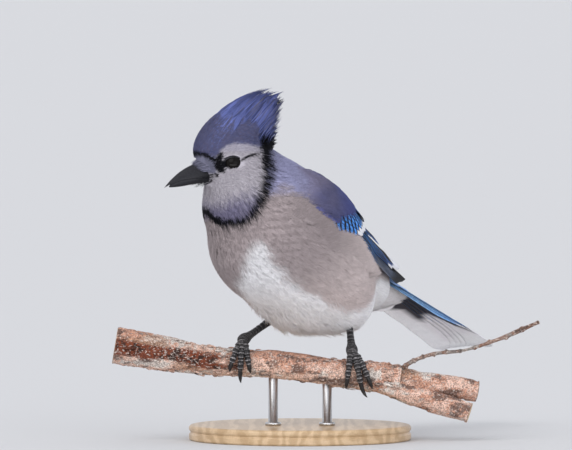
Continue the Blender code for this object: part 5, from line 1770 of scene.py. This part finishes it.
# %% Rings drawn along a line
PERCH_Y = -8
PERCH_LINE = (
    (-96, 49.5, 9.6), (-72, 45.5, 8.8), (-44, 41.3, 7.7), (-15, 39.8, 6.9), (16, 35.6, 7.2), (42, 32.8, 7.9),
    (52, 31.6, 7.6),
)
UPPER_ARM = ((44, 33.0, 6.4), (62, 30.3, 6.0), (78, 28.0, 5.8), (92, 25.4, 5.6))
LOWER_ARM = ((40, 31.5, 6.0), (58, 24.0, 5.7), (73, 19.4, 5.5), (88, 14.6, 5.2))
TWIG = (
    (50, 35.0, 1.5), (58, 41.5, 1.3), (70, 45.5, 1.1), (86, 47.5, 0.95), (104, 53.5, 0.9), (124, 62.0, 0.8),
)


def swept(line, radius, facing, segments, cuts, relief):
    """A closed rod along a line in metres. facing is where angle 0 lies, and relief adds to the radius."""
    shape, angle, share = rings_of(segments, cuts)
    marks = np.linspace(0, 1, len(line))
    ways = unit(np.gradient(line, axis=0))
    facing = np.broadcast_to(facing, line.shape)
    centre, way, face = (rows_at(share, marks, rows) for rows in (line, ways, facing))
    way = unit(way)
    face = unit(face - way * (face * way).sum(-1, keepdims=True))
    aside = np.cross(way, face)
    size = np.interp(share, marks, radius) + relief(centre, angle, share)
    points = centre + (np.cos(angle)[:, None] * face + np.sin(angle)[:, None] * aside) * size[:, None]
    return set_points(shape, points), points, angle, share


def bark_relief(plates, cracks, seed, buds=0.0):
    def relief(centre, angle, share):
        ring = np.stack([np.cos(angle), np.sin(angle)], -1)
        spot = np.concatenate([centre[:, :1], ring * 7 * MM], -1) * np.array([0.45, 1, 1])
        coarse = noise(spot, 3.2 * MM, seed)
        fine = noise(spot, 1.1 * MM, seed + 1)
        plate = ease(-0.05, 0.12, coarse + 0.35 * fine)
        crack = np.exp(-((noise(spot, 2.1 * MM, seed + 2) / 0.12) ** 2))
        round_it = ring @ np.array([[0, 1, 0], [0, 0, 1]]) * 4 * MM
        swell = noise(centre * np.array([1, 0, 0]) + round_it, 14 * MM, seed + 3)
        inner = ease(0, 0.004, share) * ease(1, 0.996, share)
        at_bud = share * 11.5
        faced = 0.55 + 0.45 * np.cos(angle - 2.4 * np.floor(at_bud))
        bud = np.exp(-(((at_bud % 1 - 0.5) / 0.1) ** 2)) * faced
        bark = plates * (plate - 0.6) - cracks * crack * plate + 0.18 * plates * fine + 0.5 * swell
        return buds * bud * MM * inner + bark * MM * inner

    return relief


BARE_WOOD = (((-78, 50), 11.0), ((-58, 41), 9.0), ((58, 35), 6.0))


def bark_colours(points, seed):
    spot = points * np.array([0.4, 1, 1])
    coarse = noise(spot, 3.2 * MM, seed)
    broad = noise(points * np.array([0.5, 1, 1]), 11 * MM, seed + 7)
    fine = noise(points, 1.3 * MM, seed + 11)
    tan, pink, grey = (0.62, 0.33, 0.23), (0.84, 0.57, 0.46), (0.76, 0.68, 0.62)
    colour = mix(tan, pink, ease(-0.25, 0.35, broad + 0.5 * coarse + 0.5 * fine))
    colour = mix(colour, grey, ease(0.1, 0.5, noise(spot, 5 * MM, seed + 9) + 0.6 * fine))
    colour = mix(colour, (0.14, 0.09, 0.075), ease(0.25, 0.5, -coarse + 0.5 * fine) * 0.85)
    bare_share = np.zeros(len(points))
    for (x, z), reach in BARE_WOOD:
        gap = np.hypot((points[:, 0] / MM - x) / 2.2, points[:, 2] / MM - z) + 2.5 * coarse
        bare_share = np.maximum(bare_share, ease(reach * 0.5, reach * 0.35, gap))
    colour = mix(colour, (0.5, 0.28, 0.17), bare_share * 0.5)
    low = np.interp(points[:, 0] / MM, (-96, -40), (50.0, 41.0)) - points[:, 2] / MM
    stripe = ease(4.4, 3.2, np.abs(low + 1.2 * coarse))
    stripe = stripe * ease(-34, -44, points[:, 0] / MM + 8 * coarse)
    stripe = stripe * ease(PERCH_Y, PERCH_Y - 2, points[:, 1] / MM)
    cracked = mix((0.2, 0.05, 0.022), (0.03, 0.014, 0.01), ease(0.05, 0.35, fine + 0.5 * coarse))
    return mix(colour, cracked, stripe)


def bark_material():
    made, tree, shader = material("bark_weathered", roughness=0.9, specular=0.2)
    place = object_place(tree, (0.3, 1, 1))
    streak, grain = noise_node(tree, place, 700, 6, 0.7), noise_node(tree, object_place(tree), 1500, 4)
    dark = mask_node(tree, streak, 0.3, 0.42)
    base = mix_node(tree, dark, (0.06, 0.04, 0.035, 1), marked(tree))
    pale = mask_node(tree, noise_node(tree, object_place(tree, (0.7, 1, 1)), 1100, 4, 0.6), 0.55, 0.62)
    flaked = mix_node(tree, math_node(tree, "MULTIPLY", pale, 0.75), base, (0.72, 0.62, 0.56, 1))
    pitted = mix_node(tree, mask_node(tree, grain, 0.4, 0.58), (0.06, 0.035, 0.03, 1), flaked)
    put(tree, mix_node(tree, 0.62, flaked, pitted), shader.inputs["Base Color"])
    height = math_node(tree, "ADD", streak, math_node(tree, "MULTIPLY", grain, 0.4))
    use_bump(tree, shader, height, 0.9, 0.0006)
    return made


def cut_wood_material():
    made, tree, shader = material("cut_branch_end", roughness=0.75)
    do = partial(math_node, tree)
    place = object_place(tree)
    _, y, z = axes_node(tree, place)
    up, across = do("SUBTRACT", z, 0.0495), do("ADD", y, 0.008)
    radius = do("SQRT", do("ADD", do("MULTIPLY", up, up), do("MULTIPLY", across, across)))
    wander = do("MULTIPLY", noise_node(tree, place, 300, 3), 0.0012)
    rings = do("SINE", do("MULTIPLY", do("ADD", radius, wander), 7000.0))
    colour = mix_node(tree, mask_node(tree, rings, -1, 1), (0.5, 0.33, 0.19, 1), (0.68, 0.52, 0.34, 1))
    put(tree, colour, shader.inputs["Base Color"])
    use_bump(tree, shader, noise_node(tree, place, 1500, 3), 0.4, 0.0002)
    return made


BARK_FINISH, CUT_WOOD = bark_material(), cut_wood_material()


def branch_piece(
    name, rows, depth, segments, cuts, seed, plates=0.55, cracks=0.45, buds=0.0, tone=1.0, nodes=()
):
    line = smooth_line(rows, 60)
    share = np.linspace(0, 1, 60)
    places = np.stack([line[:, 0], PERCH_Y + depth(share), line[:, 1]], -1) * MM
    relief = bark_relief(plates, cracks, seed, buds)
    shape, points, _, _ = swept(places, line[:, 2] * MM, (0, 0, 1), segments, cuts, relief)
    colours = tone * bark_colours(points, seed)
    ends = [face for face in shape.faces if len(face.verts) > 4]
    for face in ends:
        face.material_index = 1
    bmesh.ops.inset_region(shape, faces=ends, thickness=0.5 * MM, depth=0.1 * MM, use_even_offset=True)
    colours = np.concatenate([colours, np.tile((0.3, 0.2, 0.15), (len(shape.verts) - len(colours), 1))])
    piece = finished(shape, name, BARK_FINISH, "bark", *nodes, colours=colours)
    piece.data.materials.append(CUT_WOOD)
    for polygon in piece.data.polygons:
        if polygon.material_index == 1:
            polygon.use_smooth = False
    return piece


branch_piece("branch", PERCH_LINE, lambda share: 0 * share, 72, 250, 800, nodes=("perch",))
branch_piece("branch_upper_arm", UPPER_ARM, lambda share: 5.0 * share, 56, 90, 810)
branch_piece("branch_lower_arm", LOWER_ARM, lambda share: -4.0 * share, 56, 90, 820)
twig_bark = {"plates": 0.16, "cracks": 0.1, "buds": 0.8, "tone": 0.4}
branch_piece("branch_twig", TWIG, lambda share: -6.5 * np.minimum(1, share * 4), 14, 150, 830, **twig_bark)


# %% [markdown]
# Small scabs of loose bark break the outline, as on any dead branch. Each is a short thick splinter laid
# along the main branch, and all of them are one mesh. The twig's buds are bumps in its own bark.

# %% Loose bark
def make_flakes(count, seed):
    luck = chance(seed)
    rows = smooth_line(PERCH_LINE, 120)
    at = luck.uniform(0.02, 0.98, count)
    centre = rows_at(at, np.linspace(0, 1, 120), rows)
    turn = luck.uniform(0, 2 * math.pi, count)
    out = np.stack([0 * turn, -np.sin(turn), np.cos(turn)], -1)
    seat = np.stack([centre[:, 0], np.full(count, PERCH_Y), centre[:, 1]], -1) + out * (centre[:, 2:] * 1.0)
    length = luck.uniform(1.2, 4.5, count)
    steep = np.gradient(rows[:, 1], rows[:, 0])[(at * 119).astype(int)]
    way = unit(np.stack([np.ones(count), 0 * at, steep], -1))
    way = unit(way + 0.16 * luck.normal(0, 1, (count, 3)) * (1 - out**2))
    mark = np.arange(6) / 5
    lift = 0.35 * np.sin(mark * math.pi) + luck.uniform(0, 0.35, (count, 1)) * mark
    run = way[:, None] * ((mark - 0.5) * length[:, None])[..., None]
    lines = (seat[:, None] + run + out[:, None] * lift[..., None] * 0.7) * MM
    colours = bark_colours(lines[:, 2], 800)[:, None] * luck.uniform(0.6, 1.15, (count, 1, 1))
    colours = np.repeat(colours, 6, axis=1)
    width = luck.uniform(0.6, 1.6, count) * MM
    homes = np.stack([turn / 6.3, at], -1)
    normals = np.repeat(out[:, None], 6, axis=1)
    return barb_piece("bark_flakes", lines, normals, width, 5, colours, homes, BARK_FINISH, 0.2, 0.35)


make_flakes(340, 840)

# %% [markdown]
# The legs are bare: a slim shank with a row of broad scutes down its front, and four toes that grip the
# branch, with rings of scutes above and soft pads below. The rings are steps in the radius, so they
# catch the light as edges.

# %% Legs and claws
HEELS = {"left": (-25, 13, 66), "right": (-9, -22, 63)}
ANKLES = {"left": 27.0, "right": -29.6}
TOES = {
    "left": (
        ("inner", 24.6, 23.6, 100, 132, 3.4),
        ("middle", 31.4, 35.0, 112, 140, 6.0),
        ("outer", 35.2, 37.6, 92, 126, 2.2),
        ("hind", 26.4, 26.8, -84, -132, 1.0),
    ),
    "right": (
        ("inner", -26.6, -25.6, 92, 124, 1.6),
        ("middle", -31.0, -30.6, 112, 142, 5.6),
        ("outer", -35.4, -36.6, 88, 122, 1.2),
        ("hind", -28.6, -28.0, -84, -132, 1.0),
    ),
}
TOE_RADIUS, TOE_END_RADIUS, TARSUS_RADIUS, CLAW_RADIUS = 2.05, 1.45, 1.95, 1.35
TARSUS_SHAPE = ((0.0, 1.25), (0.12, 1.2), (0.3, 1.0), (0.6, 0.92), (0.82, 1.1), (0.94, 1.55), (1.03, 1.5))
PERCH_TABLE = smooth_line(PERCH_LINE, 60) * MM


def on_branch(x, angle, off):
    height = np.interp(x * MM, PERCH_TABLE[:, 0], PERCH_TABLE[:, 1])
    reach = np.interp(x * MM, PERCH_TABLE[:, 0], PERCH_TABLE[:, 2]) * 1.04 + off * MM
    turn = math.radians(angle)
    return np.array([x * MM, PERCH_Y * MM - reach * math.sin(turn), height + reach * math.cos(turn)])


def scutes(pitch, step, pads, length):
    """Broad overlapping scutes over the front half, small ones behind, and pads below."""

    def relief(centre, angle, share):
        run = share * length / pitch
        front = ease(-0.15, 0.25, np.cos(angle))
        saw = (run % 1) ** 1.5 - 0.5
        small = np.sin(run * 2 * math.pi * 1.7 + 3 * angle) * np.sin(5 * angle) * 0.3
        pad = np.maximum(0, -np.cos(angle)) * np.abs(np.sin(share * math.pi * 3.5)) * pads
        inner = ease(0, 0.02, share) * ease(1, 0.98, share)
        return (step * (saw * front + small * (1 - front)) + pad) * MM * inner

    return relief


def scute_colours(angle, share, length, pitch):
    """Grey scutes with dark seams, and pale rims as a painted highlight on raised edges; the soles have
    painted shade.
    """
    run = (share * length / pitch) % 1
    # the pale band near the end of each scute is a painted highlight on its raised edge
    grey = np.interp(run, (0, 0.12, 0.3, 0.7, 0.86, 1), (0.012, 0.02, 0.05, 0.14, 0.95, 0.2))
    # darker on the side away from angle 0, the toes' soles against the branch and the back of the shank:
    # painted shade
    grey = grey * np.interp(np.cos(angle), (-0.4, 0.5), (0.35, 1))
    return grey[:, None] * np.array((1.0, 0.95, 0.97))


def leg_material():
    made, tree, shader = material("leg_scales", roughness=0.5, specular=0.2)
    place = object_place(tree)
    cells = tree.nodes.new("ShaderNodeTexVoronoi")
    cells.feature = "DISTANCE_TO_EDGE"
    put(tree, place, cells.inputs["Vector"])
    cells.inputs["Scale"].default_value = 1300
    edge = mask_node(tree, cells.outputs["Distance"], 0.0, 0.18)
    mottle = noise_node(tree, place, 700, 4)
    colour = mix_node(tree, mottle, (0.02, 0.018, 0.02, 1), marked(tree))
    put(tree, mix_node(tree, edge, (0.012, 0.011, 0.012, 1), colour), shader.inputs["Base Color"])
    put(tree, mask_node(tree, mottle, 0.3, 0.7, 0.35, 0.6), shader.inputs["Roughness"])
    use_bump(tree, shader, edge, 0.6, 0.0002)
    return made


def claw_material():
    made, tree, shader = material("claw_horn", roughness=0.3, coat=0.08, specular=0.2)
    grain = noise_node(tree, object_place(tree, (1, 1, 0.3)), 1500, 4)
    colour = mix_node(tree, grain, (0.008, 0.008, 0.009, 1), (0.035, 0.032, 0.032, 1))
    put(tree, colour, shader.inputs["Base Color"])
    use_bump(tree, shader, grain, 0.3, 0.0001)
    return made


LEG_SCALES, CLAW_HORN = leg_material(), claw_material()


def toe_line(side, row):
    _, root_x, _, end_angle, _, _ = row
    line, radii, outs = [], [], []
    for number in range(8):
        share = number / 7
        x = ANKLES[side] + (root_x - ANKLES[side]) * share**0.8
        radius = TOE_RADIUS + (TOE_END_RADIUS - TOE_RADIUS) * share
        radius = radius * (1 + 0.11 * math.cos(number * math.pi))
        lift = 1.2 * max(0.0, 1 - share / 0.3)
        line.append(on_branch(x, end_angle * share, radius + 0.3 + lift))
        outs.append(on_branch(x, end_angle * share, 9) - on_branch(x, end_angle * share, 1))
        radii.append(radius * 0.94)
    return np.array(line), np.array(radii), np.array(outs)


def fine_rows(line, radii, count=40):
    rows = smooth_line(np.column_stack([line / MM, radii]), count)
    return rows[:, :3] * MM, rows[:, 3] * MM


def joined_mesh(shapes):
    whole = bmesh.new()
    for shape in shapes:
        mesh = bpy.data.meshes.new("part")
        shape.to_mesh(mesh)
        shape.free()
        whole.from_mesh(mesh)
        bpy.data.meshes.remove(mesh)
    return whole


def make_leg(side):
    heel, ankle = bird(*HEELS[side]), on_branch(ANKLES[side], -4, TOE_RADIUS + 2.2)
    course = ankle - heel
    rows = [[*(heel + course * share) / MM, TARSUS_RADIUS * size] for share, size in TARSUS_SHAPE]
    line = smooth_line(rows, 50)
    length = np.linalg.norm(course) / MM
    front = -UP + np.array([0, -3.0, 0]) if side == "left" else np.array([-1.0, -1.6, -0.4])
    shank, _, angle, share = swept(
        line[:, :3] * MM, line[:, 3] * MM, front, 20, 130, scutes(1.9, 0.3, 0.0, length)
    )
    shapes, colours = [shank], [0.6 * scute_colours(angle, share, length, 1.9)]
    for row in TOES[side]:
        toe, radii, outs = toe_line(side, row)
        fine, radius = fine_rows(toe, radii)
        facing = rows_at(np.linspace(0, 1, len(fine)), np.linspace(0, 1, len(outs)), outs)
        run = np.linalg.norm(np.diff(fine, axis=0), axis=1).sum() / MM
        shape, _, angle, share = swept(fine, radius, facing, 18, 90, scutes(1.8, 0.5, 0.28, run))
        shapes.append(shape)
        colours.append(scute_colours(angle, share, run, 1.8))
    colours = np.concatenate(colours)
    finished(joined_mesh(shapes), f"leg_scaled_{side}", LEG_SCALES, "leg", f"leg_{side}", colours=colours)


def make_claw(side, row):
    word, _, tip_x, _, tip_angle, off = row
    toe, radii, outs = toe_line(side, row)
    way = unit(toe[-1] - toe[-2])
    start = toe[-1] - way * 0.4 * MM
    tip = on_branch(tip_x, tip_angle, off)
    bow = start + way * np.linalg.norm(tip - start) * 0.7
    share = np.linspace(0, 1, 30)[:, None]
    line = start * (1 - share) ** 2 + bow * 2 * share * (1 - share) + tip * share**2
    radius = CLAW_RADIUS * MM * np.maximum(0.03, 1 - share[:, 0] ** 2.4)
    radius = radius * np.interp(share[:, 0], (0, 0.12, 1), (0.85, 1, 1))
    narrow = lambda centre, angle, part: -0.22 * MM * np.abs(np.sin(angle)) * (1 - part)
    shape, *_ = swept(line, radius, outs[-1], 14, 28, narrow)
    finished(shape, f"claw_horn_{side}_{word}", CLAW_HORN, "claw", f"claw_{side}_{word}")


for side in TOES:
    make_leg(side)
    for row in TOES[side]:
        make_claw(side, row)

# %% [markdown]
# The display stand is plain: a turned wooden disc with an eased edge, and two steel rods with small
# collars where they enter the wood. Both are profiles spun round an axis, which is how a lathe would
# make them.

# %% The stand
BASE_HEIGHT, ROD_RADIUS, ROD_SPACING = 8.0, 2.5, 28


def turned(profile, steps, centre):
    """A solid spun from (radius, height) points in millimetres, the first and last of them on the axis."""
    shape = bmesh.new()
    points = [shape.verts.new((r * MM, 0, z * MM)) for r, z in profile]
    edges = [shape.edges.new(pair) for pair in zip(points, points[1:])]
    bmesh.ops.spin(shape, geom=points + edges, angle=2 * math.pi, steps=steps, axis=(0, 0, 1), use_merge=True)
    bmesh.ops.remove_doubles(shape, verts=shape.verts, dist=1e-6)
    bmesh.ops.translate(shape, vec=centre, verts=shape.verts)
    shape.normal_update()
    bmesh.ops.recalc_face_normals(shape, faces=shape.faces)
    return shape


def wood_material():
    made, tree, shader = material("base_maple_oiled", roughness=0.4, coat=0.15)
    place = object_place(tree, (1, 0.12, 1))
    do = partial(math_node, tree)
    warp = do("MULTIPLY", noise_node(tree, place, 60, 4), 26.0)
    bands = do("SINE", do("MULTIPLY_ADD", axes_node(tree, object_place(tree))[0], 900.0, warp))
    fibres = noise_node(tree, object_place(tree, (1, 0.03, 1)), 2500, 4)
    colour = mix_node(tree, mask_node(tree, bands, -1, 1), (0.46, 0.31, 0.17, 1), (0.6, 0.43, 0.26, 1))
    pores = do("MULTIPLY", mask_node(tree, fibres, 0.45, 0.7), 0.35)
    colour = mix_node(tree, pores, colour, (0.3, 0.19, 0.1, 1))
    put(tree, colour, shader.inputs["Base Color"])
    use_bump(tree, shader, fibres, 0.15, 0.0002)
    return made


def steel_material():
    made, tree, shader = material("rod_brushed_steel", (0.55, 0.55, 0.56), 0.3, 1.0)
    lines = noise_node(tree, object_place(tree, (1, 1, 0.02)), 4000, 3)
    put(tree, mask_node(tree, lines, 0.2, 0.8, 0.22, 0.42), shader.inputs["Roughness"])
    use_bump(tree, shader, lines, 0.1, 0.00005)
    return made


BASE_PROFILE = (
    (0, 0), (56.6, 0), (57.4, 0.3), (57.8, 1.0), (57.8, 3.2), (57.2, 3.9), (57.0, 4.4), (57.4, 4.9),
    (57.8, 5.6), (57.8, 6.6), (57.5, 7.3), (56.9, 7.8), (56.0, BASE_HEIGHT), (50, BASE_HEIGHT),
    (0, BASE_HEIGHT),
)
base = turned(BASE_PROFILE, 128, (0, 0, 0))
stand_base = finished(base, "stand_base_turned", wood_material(), "base_wood", "stand_base")
stand_base.data.polygons.foreach_set("use_smooth", np.zeros(len(stand_base.data.polygons), bool))
STEEL_FINISH = steel_material()
for number, x in enumerate((-ROD_SPACING / 2, ROD_SPACING / 2)):
    top = np.interp(x, PERCH_TABLE[:, 0] / MM, (PERCH_TABLE[:, 1] - PERCH_TABLE[:, 2]) / MM) + 3.6
    foot = ((0, 4.4), (ROD_RADIUS, 4.4), (ROD_RADIUS, BASE_HEIGHT))
    collar = ((4.2, BASE_HEIGHT), (4.2, 9.2), (3.9, 9.6), (ROD_RADIUS, 9.7))
    profile = (*foot, *collar, (ROD_RADIUS, top - 0.4), (2.2, top), (0, top))
    rod = turned(profile, 40, (x * MM, PERCH_Y * MM, 0))
    finished(rod, f"stand_rod_turned_{number + 1}", STEEL_FINISH, "rod_steel", f"stand_rod_{number + 1}")

# %% [markdown]
# The floor is a plain sheet, no part of the bird.

# %% Floor and finish
def make_floor():
    shape = bmesh.new()
    bmesh.ops.create_grid(shape, x_segments=2, y_segments=2, size=60)
    mesh = bpy.data.meshes.new("floor")
    shape.to_mesh(mesh)
    shape.free()
    finish, tree, shader = material("floor_paper", (0.6, 0.6, 0.61), 0.9)
    grain = noise_node(tree, object_place(tree), 900, 2)
    use_bump(tree, shader, grain, 0.05, 0.0005)
    mesh.materials.append(finish)
    floor = linked("floor", mesh)


make_floor()
